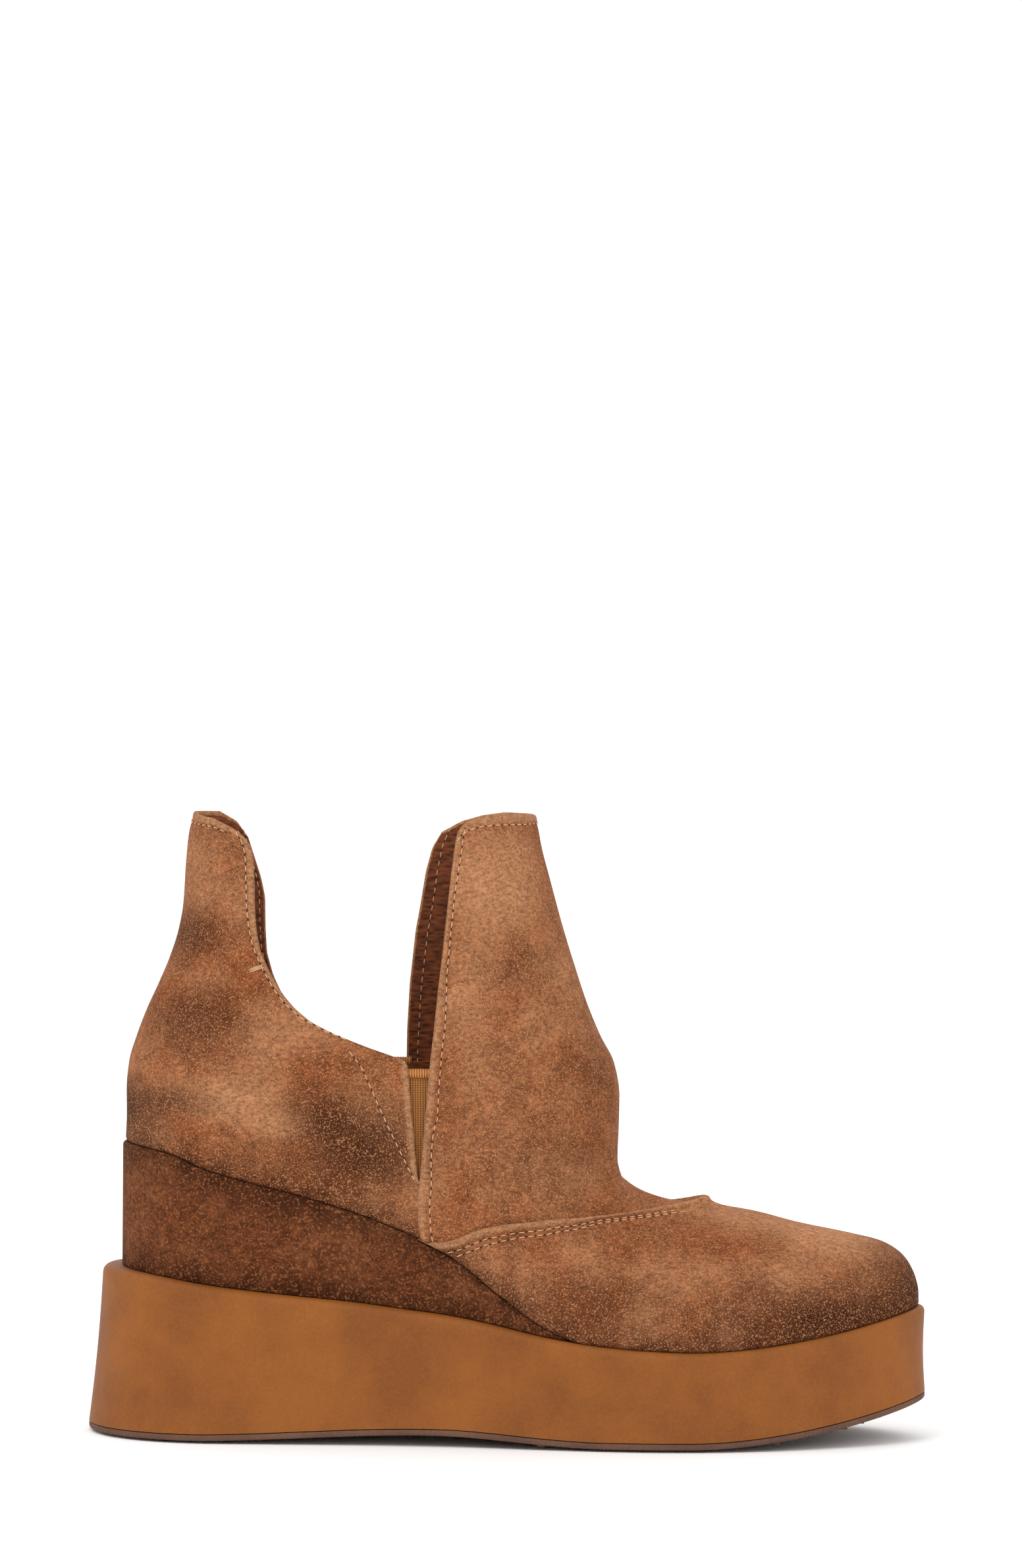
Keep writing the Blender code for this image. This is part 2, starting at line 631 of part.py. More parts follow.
def far_corners(first_x, last_x):
    """Corners that close an outline far above, behind and below the upper."""
    top = float(seat(HEEL_X)) + COLLAR_RISE + 3 * OVERRUN
    rear = HEEL_X - 4 * OVERRUN
    return [(last_x, top), (rear, top), (rear, -OVERRUN), (first_x, -OVERRUN)]


def collar_cutter(side, low_y, high_y, cutters):
    """What is open on one side: over the heel tab, between it and the shaft, the notch, over the shaft."""
    tip_x, tip_z = pattern_point(side.tip)
    foot = [(tip_x - NOTCH_FOOT / 2, tip_z), (tip_x + NOTCH_FOOT / 2, tip_z)]
    above = float(seat(HEEL_X)) + COLLAR_RISE + 3 * OVERRUN
    outline = [(HEEL_X - OVERRUN, above), (HEEL_X - OVERRUN, pattern_point((0.0, TAB_PASS))[1])]
    outline += pattern_line(side.tab_and_floor) + foot + pattern_line(side.shaft_rear)
    outline += [(THROAT_X + OVERRUN, pattern_point((0.0, SHAFT_PASS))[1]), (THROAT_X + OVERRUN, above)]
    return side_prism("collar_" + side.name, outline, low_y, high_y, cutters)


def quarter_cutter(side, low_y, high_y, cutters):
    """All that lies behind the front panel's rear edge on one side."""
    low, high = PANEL_HEIGHTS
    spare = [(forward - PANEL_SPARE, up) for forward, up in side.shaft_rear if low < up < high]
    edge = pattern_line(side.panel_rear)[::-1] + pattern_line(spare)
    outline = edge + far_corners(edge[0][0], edge[-1][0])
    return side_prism("behind_panel_" + side.name, outline, low_y, high_y, cutters)


def make_upper(parts, cutters):
    """The forms are combined first and trimmed last. Each runs past the trims by a length of its own."""
    upper = make_form("upper", 0.0, OVERRUN, parts)
    panel = make_form("panel_form", LAP, 0.9 * OVERRUN, cutters)
    vamp = make_form("vamp_form", 2 * LAP, 0.8 * OVERRUN, cutters, LIP_RISE)
    inside = make_form("inner_form", -WALL, 1.1 * OVERRUN, cutters)
    behind = []
    open_sides = []
    for side, low_y, high_y in ((LATERAL, -CUT_REACH, OVERLAP), (MEDIAL, -OVERLAP, CUT_REACH)):
        behind.append(quarter_cutter(side, low_y, high_y, cutters))
        open_sides.append(collar_cutter(side, low_y, high_y, cutters))
    for lateral, medial in (behind, open_sides):
        combine(lateral, medial, "UNION")
    combine(panel, behind[0], "DIFFERENCE")
    lap = pattern_line(LAP_LINE)
    above_lap = lap + far_corners(lap[0][0], lap[-1][0])
    combine(vamp, side_prism("above_lap", above_lap, -CUT_REACH, CUT_REACH, cutters), "DIFFERENCE")
    combine(upper, panel, "UNION")
    combine(upper, vamp, "UNION")
    combine(upper, inside, "DIFFERENCE")
    x = np.linspace(HEEL_X - OVERRUN, TOE_X + OVERRUN, SEAT_POINTS)
    under = list(zip(x, seat(x) + CLEARANCE)) + [(x[-1], -OVERRUN), (x[0], -OVERRUN)]
    combine(upper, side_prism("under_upper", under, -CUT_REACH, CUT_REACH, cutters), "DIFFERENCE")
    combine(upper, open_sides[0], "DIFFERENCE")
    return upper


def level_and_share(x, z):
    """The level and share of the outer form's point that shows at x and z in the side view."""
    low = np.zeros_like(x)
    high = np.ones_like(x)
    for _ in range(SEARCH_STEPS):
        level = (low + high) / 2
        back_x = back_end(level)[0]
        front_x = front_end(level)[0]
        share = np.clip((x - back_x) / (front_x - back_x), 0.0, 1.0)
        too_low = on_upper(level, share, -1)[..., 2] < z
        low = np.where(too_low, level, low)
        high = np.where(too_low, high, level)
    return level, share


def make_gore(side, collection):
    """An elastic panel inside the notch, as wide as the notch and a margin on both sides."""
    tip_x, tip_z = pattern_point(side.tip)
    rear_x = pattern_point(side.tab_and_floor[-1])[0]
    front_x, front_z = pattern_point(side.shaft_rear[0])
    up = np.linspace(0.0, 1.0, GORE_ROWS)[:, None]
    across = np.linspace(0.0, 1.0, GORE_COLUMNS)[None, :]
    low_z = tip_z - GORE_MARGIN / 2
    z = low_z + (front_z - low_z) * up + 0.0 * across
    left = (tip_x - GORE_MARGIN / 2) * (1 - up) + (rear_x - GORE_MARGIN) * up
    right = (tip_x + GORE_MARGIN / 2) * (1 - up) + (front_x + GORE_MARGIN) * up
    x = left + (right - left) * across
    level, share = level_and_share(x, z)
    place = on_upper(level, share, side.sign)
    out = np.cross(np.gradient(place, axis=1), np.gradient(place, axis=0))
    out /= np.linalg.norm(out, axis=2)[..., None]
    out *= np.sign(out[..., 1:2]) * side.sign
    outer = place - out * (WALL + GORE_CLEARANCE)
    inner = outer - out * GORE_THICKNESS
    vertices = np.concatenate((outer.reshape(-1, 3), inner.reshape(-1, 3)))
    size = GORE_ROWS * GORE_COLUMNS
    numbers = np.arange(size).reshape(GORE_ROWS, GORE_COLUMNS)
    faces = []
    for row in range(GORE_ROWS - 1):
        for col in range(GORE_COLUMNS - 1):
            quad = [int(numbers[row + r, col + c]) for r, c in ((0, 0), (0, 1), (1, 1), (1, 0))]
            faces.append(quad)
            faces.append([size + corner for corner in reversed(quad)])
    border = [*numbers[0], *numbers[1:, -1], *numbers[-1, -2::-1], *numbers[-2:0:-1, 0]]
    border = [int(corner) for corner in border]
    for corner, after in zip(border, border[1:] + border[:1]):
        faces.append((after, corner, size + corner, size + after))
    gore = new_object("gore_" + side.name, vertices, faces, collection)
    make_faces_point_out(gore)
    return gore


def main():
    for thing in list(bpy.data.objects):
        bpy.data.objects.remove(thing, do_unlink=True)
    parts = bpy.data.collections.new("wedge_ankle_boot")
    cutters = bpy.data.collections.new("cutters")
    bpy.context.scene.collection.children.link(parts)
    bpy.context.scene.collection.children.link(cutters)
    finishes = {name: material(name) for name in FINISHES}
    dress(make_outsole(parts), finishes["rubber"])
    dress(make_platform(parts), finishes["foam"])
    dress(make_wedge(parts), finishes["dark_suede"])
    dress(make_insole(parts), finishes["lining"])
    dress(make_upper(parts, cutters), finishes["suede"])
    for side in (LATERAL, MEDIAL):
        dress(make_gore(side, parts), finishes["elastic"])
    for cutter in cutters.objects:
        cutter.hide_render = True
        cutter.display_type = "WIRE"


main()
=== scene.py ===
# %% [markdown]
# A wedge ankle boot in burnished suede, seen from its outer side with the toe to the right. Its
# upper is open between a heel tab and a tall front, so the far side's lining shows through.
#
# The solid part is already packed and fixed. This script dresses it: every visible piece is made
# again as a finer mesh that follows the same form, and gets the finish of its real material.
# Lengths are in metres, +X points to the toe, -Y to the outer side and +Z up.

# %% Load the part as a fixed frame
import math
from collections import namedtuple

import bmesh
import bpy
import numpy as np
from mathutils import Matrix


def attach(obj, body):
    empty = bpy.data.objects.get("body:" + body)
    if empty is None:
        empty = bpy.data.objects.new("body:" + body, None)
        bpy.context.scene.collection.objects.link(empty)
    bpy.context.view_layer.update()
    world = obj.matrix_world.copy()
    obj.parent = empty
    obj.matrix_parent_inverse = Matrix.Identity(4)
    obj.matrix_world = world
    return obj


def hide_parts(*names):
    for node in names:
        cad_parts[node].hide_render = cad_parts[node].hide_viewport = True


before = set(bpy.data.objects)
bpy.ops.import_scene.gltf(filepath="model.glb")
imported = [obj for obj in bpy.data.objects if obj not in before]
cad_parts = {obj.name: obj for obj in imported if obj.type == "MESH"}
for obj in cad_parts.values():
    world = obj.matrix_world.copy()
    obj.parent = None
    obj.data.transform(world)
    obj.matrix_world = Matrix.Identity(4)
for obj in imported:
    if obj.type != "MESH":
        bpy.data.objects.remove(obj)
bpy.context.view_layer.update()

MM = 0.001
print("Nodes of the part:", sorted(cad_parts))

# %% [markdown]
# Two helpers serve every material. Colours are written as the hex values that a screen shows, and
# one function turns them to the linear values that shaders read. The other adds a node to a
# material with its settings, its input values and its links in one call.

# %% Helpers for colours and nodes
def colour(code):
    """The linear colour of a hex value such as #b07a50."""
    shares = [int(code[place : place + 2], 16) / 255 for place in (1, 3, 5)]
    linear = [s / 12.92 if s <= 0.04045 else ((s + 0.055) / 1.055) ** 2.4 for s in shares]
    return (*linear, 1.0)


def add_node(tree, kind, inputs=None, **settings):
    """A new node. An input is a value, or another node's output socket to link."""
    node = tree.nodes.new(kind)
    for name, value in settings.items():
        setattr(node, name, value)
    for name, value in (inputs or {}).items():
        if isinstance(value, bpy.types.NodeSocket):
            tree.links.new(value, node.inputs[name])
        else:
            node.inputs[name].default_value = value
    return node


print("Saddle brown is", [round(value, 3) for value in colour("#8b5a2b")])

# %% [markdown]
# The photograph is a catalogue picture: a long lens, almost level with the shoe and a few degrees
# round to the toe. The camera stands where the shoe's known sizes put it. Its framing comes from
# one fact: where the middle of the sole touches the floor in the picture.

# %% Camera
IMAGE_HEIGHT = 2380
CAMERA_AZIMUTH = math.radians(3.0)     # round from the outer side towards the toe
CAMERA_DISTANCE = 2.2
CAMERA_HEIGHT = 0.27
CAMERA_ROLL = math.radians(0.45)
PIXEL = 0.2076 * MM                    # size of a pixel at the shoe
FLOOR_PIXEL_ROW = 2175                 # where the middle of the sole meets the floor
SENSOR = 36.0

focal_pixels = CAMERA_DISTANCE / PIXEL
drop = math.atan((FLOOR_PIXEL_ROW - IMAGE_HEIGHT / 2) / focal_pixels)
pitch = math.atan2(CAMERA_HEIGHT, CAMERA_DISTANCE) - drop
camera_data = bpy.data.cameras.new("camera")
camera_data.sensor_fit = "VERTICAL"
camera_data.sensor_height = SENSOR
camera_data.lens = focal_pixels / IMAGE_HEIGHT * SENSOR
camera_data.clip_start = 0.05
camera_data.clip_end = 20.0
camera = bpy.data.objects.new("camera", camera_data)
bpy.context.scene.collection.objects.link(camera)
camera.matrix_world = (
    Matrix.Rotation(CAMERA_AZIMUTH, 4, "Z")
    @ Matrix.Translation((0.0, -CAMERA_DISTANCE, CAMERA_HEIGHT))
    @ Matrix.Rotation(math.pi / 2 - pitch, 4, "X")
    @ Matrix.Rotation(CAMERA_ROLL, 4, "Z")
)
bpy.context.scene.camera = camera
print("Lens", round(camera_data.lens, 1), "mm, looking down", round(math.degrees(pitch), 2), "degrees")

# %% [markdown]
# The light is that of a white photo box: bright walls all round, a broad soft light above and in
# front of the shoe, a weaker one behind it, and a pale floor that throws light back up.

# %% Light and floor
def area_light(name, place, turn, size, power):
    data = bpy.data.lights.new(name, "AREA")
    data.shape = "RECTANGLE"
    data.size, data.size_y = size
    data.energy = power
    light = bpy.data.objects.new(name, data)
    light.location = place
    light.rotation_euler = [math.radians(angle) for angle in turn]
    bpy.context.scene.collection.objects.link(light)
    return light


area_light("key", (-0.55, -0.95, 1.25), (40, 0, -30), (0.9, 0.7), 8.0)
area_light("fill", (1.0, -1.0, 0.6), (68, 0, 45), (0.9, 0.9), 2.0)
area_light("rim", (0.1, 1.0, 1.0), (-48, 0, 0), (1.2, 0.6), 4.0)

bpy.context.scene.view_settings.view_transform = "Standard"     # so that white stays white
WALLS = "#ffffff"
world = bpy.data.worlds.new("photo box")
world.use_nodes = True
walls = world.node_tree.nodes["Background"]
walls.inputs["Color"].default_value = colour(WALLS)
walls.inputs["Strength"].default_value = 1.08
bpy.context.scene.world = world

FLOOR_SIZE = 6.0
floor_mesh = bpy.data.meshes.new("floor")
half = FLOOR_SIZE / 2
corners = [(-half, -half, 0), (half, -half, 0), (half, half, 0), (-half, half, 0)]
floor_mesh.from_pydata(corners, [], [(0, 1, 2, 3)])
floor = bpy.data.objects.new("floor", floor_mesh)
bpy.context.scene.collection.objects.link(floor)
floor_paper = bpy.data.materials.new("pale paper")
floor_paper.use_nodes = True
paper = floor_paper.node_tree.nodes["Principled BSDF"]
paper.inputs["Base Color"].default_value = colour("#fbfbfb")
paper.inputs["Roughness"].default_value = 0.9
paper.inputs["Specular IOR Level"].default_value = 0.1
floor_mesh.materials.append(floor_paper)

# %% [markdown]
# The shoe is drawn with the same driving dimensions as the solid part: a last with its length,
# breadths and heel rise, a sole under it and an upper over it. They are repeated here because a
# finer mesh has to follow the same form.

# %% Driving dimensions
# The last and the sole.
LAST_LENGTH = 0.2495          # along the feather line, where the upper meets what is under it
BALL_BREADTH = 0.0860         # across the feather line at the ball
TOE_SWING = 0.0040            # how far the toe's tip turns to the inner side
HEEL_ROUND = 0.0330           # length of the round end at the heel
TOE_ROUND = 0.0760            # length of the round end at the toe
OUTSOLE_THICKNESS = 0.0030
PLATFORM_BALL = 0.0277        # foam under the ball and the toe
PLATFORM_HEEL = 0.0498        # foam under the back of the heel
WEDGE_HEEL = 0.0393           # wedge under the back of the heel
ARCH_RISE = 0.0028            # how far the outsole's waist clears the floor
TOE_SPRING = 0.0120           # how far the outsole's tip clears the floor
LEDGE = 0.0069                # platform's rim outside the feather line, at the back of the heel
FLARE = 0.0041                # platform's foot outside its own rim, at the back of the heel
WEDGE_PROUD = 0.0008          # wedge's cover outside the feather line
WEDGE_TIP = 0.0007            # thickness at the wedge's front end
INSOLE_THICKNESS = 0.0030
INSOLE_TAPER = 0.0009         # how much its edge leans in with the wall around it

# The upper.
INSTEP_RISE = 0.0492          # top of the throat above the seat
VAMP_LENGTH = 0.0930          # throat to toe
SHAFT_RISE = 0.1147           # top of the throat to the top line, in front
SHAFT_LEAN = 0.0282           # how far the shaft's front leans back on that way
COLLAR_RISE = 0.1044          # heel seat to the top line, behind
BACK_LEAN = 0.0209            # how far the back line leans forward on that way
SHAFT_BREADTH = 0.0600        # across the shaft at the ankle
SHAFT_NOSE = 0.0380           # length of the shaft's round front
WALL = 0.0019                 # suede and lining together
LAP = 0.0008                  # step where one panel lies on another
LIP_RISE = 0.0016             # how far the vamp's edge stands up at the instep
GORE_THICKNESS = 0.0012
GORE_MARGIN = 0.0080          # elastic hidden behind the suede on each side of the notch

CLEARANCE = 0.0003            # between two pieces that touch

# Shape of the sections.
SPRING_POWER = 1.8            # how suddenly the toe springs, 1 a straight ramp
SWING_RANGE = (0.55, 1.05)    # stations between which the middle line turns
INSTEP_SLOPE = 0.80           # how steeply the foot's own ridge goes on up inside the shaft
INSTEP_CURVE = 0.0850         # and over what length it steepens
INSTEP_POWER = 1.45           # crown of the section at the instep, 1 a gable and 2 an ellipse
TOE_POWER = 2.45
HEEL_POWER = 2.1
CROWN_START = 0.10            # share of VAMP_LENGTH behind the throat where the crown is the instep's
SHAFT_LEVEL = 0.64            # level at which the sides have wholly become the shaft's
LIP_PLACE = 0.29              # share of VAMP_LENGTH in front of the throat
LIP_LENGTH = 0.0075
LIP_BREADTH = 0.0160
LIP_HEIGHTS = (0.6, 0.9)      # shares of INSTEP_RISE between which the lip fades in
ANGLE_STEP = 0.04             # for the slope of the form's surface
LEVEL_STEP = 0.004
RIDGE_POINTS = 60
SEARCH_STEPS = 40
OUTLINE_POINTS = 180          # on each side of a sole
print("Last", LAST_LENGTH, "m long, ball", BALL_BREADTH, "m broad")

# %% [markdown]
# A sole's outline and thickness change along the shoe in a way that no simple formula gives, so
# short tables hold them. Each row is a station along the last, and a smooth curve runs through
# the rows.

# %% Tables of the sole
# Stations are shares of LAST_LENGTH from the heel. Breadths are shares of half the ball's breadth.
Breadth = namedtuple("Breadth", "station lateral medial")
BREADTHS = (
    Breadth(0.00, 0.720, 0.700),
    Breadth(0.13, 0.725, 0.700),
    Breadth(0.30, 0.735, 0.655),
    Breadth(0.42, 0.780, 0.660),
    Breadth(0.55, 0.900, 0.790),
    Breadth(0.68, 1.000, 0.955),
    Breadth(0.76, 0.985, 1.000),
    Breadth(0.86, 0.930, 0.960),
    Breadth(1.00, 0.820, 0.860),
)

# Thickness of the foam between PLATFORM_BALL, 0, and PLATFORM_HEEL, 1, and of the wedge as a share.
Sole = namedtuple("Sole", "station foam wedge")
SOLES = (
    Sole(-0.05, 1.000, 1.015),
    Sole(0.00, 0.975, 1.000),
    Sole(0.06, 0.910, 0.985),
    Sole(0.11, 0.825, 0.912),
    Sole(0.16, 0.740, 0.860),
    Sole(0.225, 0.632, 0.800),
    Sole(0.295, 0.522, 0.710),
    Sole(0.37, 0.392, 0.590),
    Sole(0.426, 0.315, 0.453),
    Sole(0.483, 0.233, 0.245),
    Sole(0.515, 0.183, 0.140),
    Sole(0.55, 0.135, 0.052),
    Sole(0.59, 0.090, 0.000),
    Sole(0.67, 0.022, 0.000),
    Sole(0.73, 0.000, 0.000),
    Sole(1.05, 0.000, 0.000),
)
HEEL_FLAT_END = 0.085
ARCH_TOP = 0.40
BALL_FLAT_START = 0.615
SPRING_START = 0.725

# How far the platform's rim stands out, as shares of LEDGE, and its foot, as shares of FLARE.
Ledge = namedtuple("Ledge", "station rim foot")
LEDGES = (
    Ledge(0.00, 1.00, 1.00),
    Ledge(0.10, 0.80, 0.85),
    Ledge(0.30, 0.68, 0.72),
    Ledge(0.50, 0.60, 0.50),
    Ledge(0.70, 0.42, 0.28),
    Ledge(0.85, 0.44, 0.18),
    Ledge(1.00, 0.50, 0.08),
)

# Places that follow from the sizes.
HEEL_LEDGE = LEDGE * LEDGES[0].rim + FLARE * LEDGES[0].foot
TOE_LEDGE = LEDGE * LEDGES[-1].rim + FLARE * LEDGES[-1].foot
BACK_X = -(LAST_LENGTH + HEEL_LEDGE + TOE_LEDGE) / 2
FRONT_X = -BACK_X
HEEL_X = BACK_X + HEEL_LEDGE
TOE_X = HEEL_X + LAST_LENGTH
THROAT_X = TOE_X - VAMP_LENGTH
print("The heel's back is at x =", round(HEEL_X, 4), "and the toe's tip at", round(TOE_X, 4))

# %% [markdown]
# The upper is a family of closed loops, as a shoemaker's tape would lie round the foot: from the
# feather line at the bottom, over the vamp, and round the shaft to the top line.

# %% Tables of the upper
# Loops of the upper from the feather line to the top line. reach and rise place the loop's front end
# on the vamp's ridge (shares of VAMP_LENGTH and INSTEP_RISE), lean and lift place it on the shaft's
# front (shares of SHAFT_LEAN and SHAFT_RISE), back is its height on the back line (share of
# COLLAR_RISE). seat is how much it follows the seat, shaft how much its section is the shaft's.
Loop = namedtuple("Loop", "reach rise lean lift back seat shaft")
LOOPS = (
    Loop(1.000, 0.000, 0.000, 0.000, 0.000, 1.00, 0.00),
    Loop(0.999, 0.092, 0.000, 0.000, 0.030, 1.00, 0.00),
    Loop(0.990, 0.175, 0.000, 0.000, 0.055, 1.00, 0.00),
    Loop(0.960, 0.303, 0.000, 0.000, 0.080, 1.00, 0.00),
    Loop(0.895, 0.427, 0.000, 0.000, 0.105, 1.00, 0.00),
    Loop(0.772, 0.540, 0.000, 0.000, 0.130, 1.00, 0.00),
    Loop(0.600, 0.664, 0.000, 0.000, 0.155, 1.00, 0.00),
    Loop(0.437, 0.780, 0.000, 0.000, 0.180, 1.00, 0.00),
    Loop(0.279, 0.846, 0.000, 0.000, 0.205, 1.00, 0.02),
    Loop(0.156, 0.876, 0.000, 0.000, 0.230, 0.95, 0.12),
    Loop(0.060, 0.929, 0.000, 0.000, 0.255, 0.85, 0.34),
    Loop(0.000, 1.000, 0.000, 0.000, 0.280, 0.72, 0.62),
    Loop(0.000, 1.000, 0.053, 0.052, 0.308, 0.58, 0.86),
    Loop(0.000, 1.000, 0.048, 0.138, 0.350, 0.42, 0.98),
    Loop(0.000, 1.000, 0.040, 0.227, 0.400, 0.28, 1.00),
    Loop(0.000, 1.000, 0.100, 0.314, 0.450, 0.16, 1.00),
    Loop(0.000, 1.000, 0.250, 0.386, 0.500, 0.08, 1.00),
    Loop(0.000, 1.000, 0.404, 0.475, 0.560, 0.02, 1.00),
    Loop(0.000, 1.000, 0.560, 0.588, 0.630, 0.00, 1.00),
    Loop(0.000, 1.000, 0.709, 0.706, 0.710, 0.00, 1.00),
    Loop(0.000, 1.000, 0.837, 0.820, 0.800, 0.00, 1.00),
    Loop(0.000, 1.000, 0.936, 0.911, 0.900, 0.00, 1.00),
    Loop(0.000, 1.000, 1.000, 1.000, 1.000, 0.00, 1.00),
)

# The back line: its lean (share of BACK_LEAN), and the shaft's half breadth and the length of its
# round back (shares of half SHAFT_BREADTH and of HEEL_ROUND), by height (share of COLLAR_RISE).
Back = namedtuple("Back", "height lean breadth round")
BACKS = (
    Back(0.00, 0.000, 1.03, 1.00),
    Back(0.08, 0.015, 1.03, 1.00),
    Back(0.16, 0.010, 1.02, 1.02),
    Back(0.24, 0.045, 1.00, 1.05),
    Back(0.32, 0.160, 0.985, 1.08),
    Back(0.40, 0.310, 0.975, 1.12),
    Back(0.48, 0.490, 0.965, 1.16),
    Back(0.56, 0.655, 0.955, 1.18),
    Back(0.64, 0.780, 0.940, 1.20),
    Back(0.72, 0.850, 0.920, 1.20),
    Back(0.84, 0.885, 0.890, 1.20),
    Back(0.92, 0.920, 0.875, 1.20),
    Back(1.00, 1.000, 0.870, 1.20),
)
print(len(LOOPS), "loops from the feather line to the top line")

# %% [markdown]
# The suede is cut as a pattern. Its lines are given as they show in the side view, on the outer
# and on the inner side: the edge of the heel tab and of the side opening, the notch that holds
# the elastic, the rear edge of the front panel, and the line where the vamp laps over it. The two
# edges of the opening lie off those of the solid part, up to 1.6 mm on the outer side and 2.2 mm on
# the inner, where the photograph shows them so.

# %% Lines of the pattern
# They are shares of the collar: forward from the heel's back
# (share of COLLAR_REACH) and up from the heel's seat (share of COLLAR_RISE).
COLLAR_REACH = THROAT_X - SHAFT_LEAN - HEEL_X
TAB_AND_FLOOR_LATERAL = (
    (0.150, 1.000), (0.215, 0.984), (0.267, 0.957), (0.298, 0.930), (0.317, 0.900), (0.325, 0.864),
    (0.328, 0.790), (0.330, 0.710), (0.335, 0.650), (0.346, 0.591), (0.367, 0.536), (0.388, 0.492),
    (0.408, 0.455), (0.433, 0.420), (0.472, 0.380), (0.530, 0.344), (0.613, 0.305), (0.674, 0.280),
    (0.709, 0.264),
)
TAB_AND_FLOOR_MEDIAL = (
    (0.150, 1.010), (0.210, 0.996), (0.250, 0.965), (0.278, 0.915), (0.298, 0.840), (0.311, 0.790),
    (0.321, 0.730), (0.322, 0.640), (0.326, 0.560), (0.342, 0.490), (0.361, 0.440), (0.384, 0.400),
    (0.411, 0.362), (0.451, 0.324), (0.508, 0.290), (0.580, 0.260), (0.620, 0.248), (0.643, 0.243),
)
NOTCH_TIP_LATERAL = (0.740, -0.088)
NOTCH_TIP_MEDIAL = (0.672, -0.088)
SHAFT_REAR_LATERAL = (
    (0.762, 0.236), (0.766, 0.286), (0.773, 0.364), (0.782, 0.483), (0.793, 0.602), (0.803, 0.719),
    (0.812, 0.818), (0.820, 0.897), (0.827, 0.946), (0.838, 0.970), (0.857, 0.985), (0.889, 0.996),
    (0.930, 1.000), (0.985, 1.000), (1.060, 0.985),
)
SHAFT_REAR_MEDIAL = (
    (0.677, 0.236), (0.678, 0.328), (0.684, 0.470), (0.698, 0.632), (0.707, 0.692), (0.715, 0.753),
    (0.723, 0.814), (0.739, 0.885), (0.764, 0.934), (0.815, 0.968), (0.870, 0.988), (0.930, 1.000),
    (0.985, 1.000), (1.060, 0.985),
)
PANEL_REAR_LATERAL = (
    (0.737, 0.236), (0.741, -0.088), (0.736, -0.164), (0.740, -0.222), (0.7455, -0.272), (0.750, -0.350),
)
PANEL_REAR_MEDIAL = (
    (0.660, 0.236), (0.673, -0.088), (0.669, -0.150), (0.676, -0.222), (0.689, -0.300), (0.700, -0.370),
)
Side = namedtuple("Side", "name sign tab_and_floor tip shaft_rear panel_rear")
LATERAL = Side(
    "lateral", -1, TAB_AND_FLOOR_LATERAL, NOTCH_TIP_LATERAL, SHAFT_REAR_LATERAL, PANEL_REAR_LATERAL
)
MEDIAL = Side("medial", 1, TAB_AND_FLOOR_MEDIAL, NOTCH_TIP_MEDIAL, SHAFT_REAR_MEDIAL, PANEL_REAR_MEDIAL)
LAP_LINE = (
    (0.660, -0.345), (0.700, -0.306), (0.741, -0.278), (0.777, -0.270), (0.808, -0.268), (0.840, -0.256),
    (0.889, -0.229), (0.952, -0.215), (1.048, -0.203), (1.159, -0.197), (1.255, -0.189), (1.318, -0.180),
    (1.350, -0.174), (1.420, -0.160),
)
print("The collar reaches", round(COLLAR_REACH, 4), "m forward")

# %% [markdown]
# From here on, formulas turn those tables into points. First come the curves through a table's
# rows and the outline of the sole.

# %% Curves through the tables
def follow(stations, values, at):
    """A smooth curve through a table's rows that never swings past them."""
    x = np.asarray(stations, float)
    y = np.asarray(values, float)
    at = np.asarray(at, float)
    step = np.diff(x)
    slope = np.diff(y) / step
    product = slope[:-1] * slope[1:]
    total = np.where(np.abs(slope[:-1] + slope[1:]) > 1e-12, slope[:-1] + slope[1:], 1.0)
    inner = np.where(product > 0, 2 * product / total, 0.0)
    tangent = np.concatenate(([slope[0]], inner, [slope[-1]]))
    cell = np.clip(np.searchsorted(x, at, side="right") - 1, 0, len(step) - 1)
    t = np.clip((at - x[cell]) / step[cell], 0.0, 1.0)
    return (
        (1 + 2 * t) * (1 - t) ** 2 * y[cell]
        + t * (1 - t) ** 2 * step[cell] * tangent[cell]
        + t * t * (3 - 2 * t) * y[cell + 1]
        + t * t * (t - 1) * step[cell] * tangent[cell + 1]
    )


def column(table, name):
    return [getattr(row, name) for row in table]


def look_up(table, name, at):
    """A named column of a table, read at a station given by its first column."""
    return follow([row[0] for row in table], column(table, name), at)


def station(x):
    return (np.asarray(x, float) - HEEL_X) / LAST_LENGTH


def ease(low, high, at):
    """0 below low, 1 above high, and a smooth step between."""
    t = np.clip((np.asarray(at, float) - low) / (high - low), 0.0, 1.0)
    return t * t * (3 - 2 * t)


def round_end(distance, length, power=2.1):
    """Share of the full breadth at a distance from a round end of this length."""
    t = np.clip(1 - np.asarray(distance, float) / length, 0.0, 1.0)
    return (1 - t ** power) ** (1 / power)


print("Station of the throat:", round(float(station(THROAT_X)), 3))

# %% [markdown]
# The sole stands flat on heel and ball, is arched between them and springs up at the toe. Every
# height above it is counted from that line. In plan everything follows the feather line.

# %% Heights and outline of the sole
def floor_line(x):
    """Underside of the outsole: flat at heel and ball, arched between, sprung at the toe."""
    at = station(x)
    arch = ARCH_RISE * np.minimum(ease(HEEL_FLAT_END, ARCH_TOP, at), ease(BALL_FLAT_START, ARCH_TOP, at))
    spring_x = HEEL_X + SPRING_START * LAST_LENGTH
    along = np.clip((np.asarray(x, float) - spring_x) / (FRONT_X - spring_x), 0.0, None)
    return arch + TOE_SPRING * along ** SPRING_POWER


def platform_top(x):
    foam = PLATFORM_BALL + (PLATFORM_HEEL - PLATFORM_BALL) * look_up(SOLES, "foam", station(x))
    return floor_line(x) + OUTSOLE_THICKNESS + foam


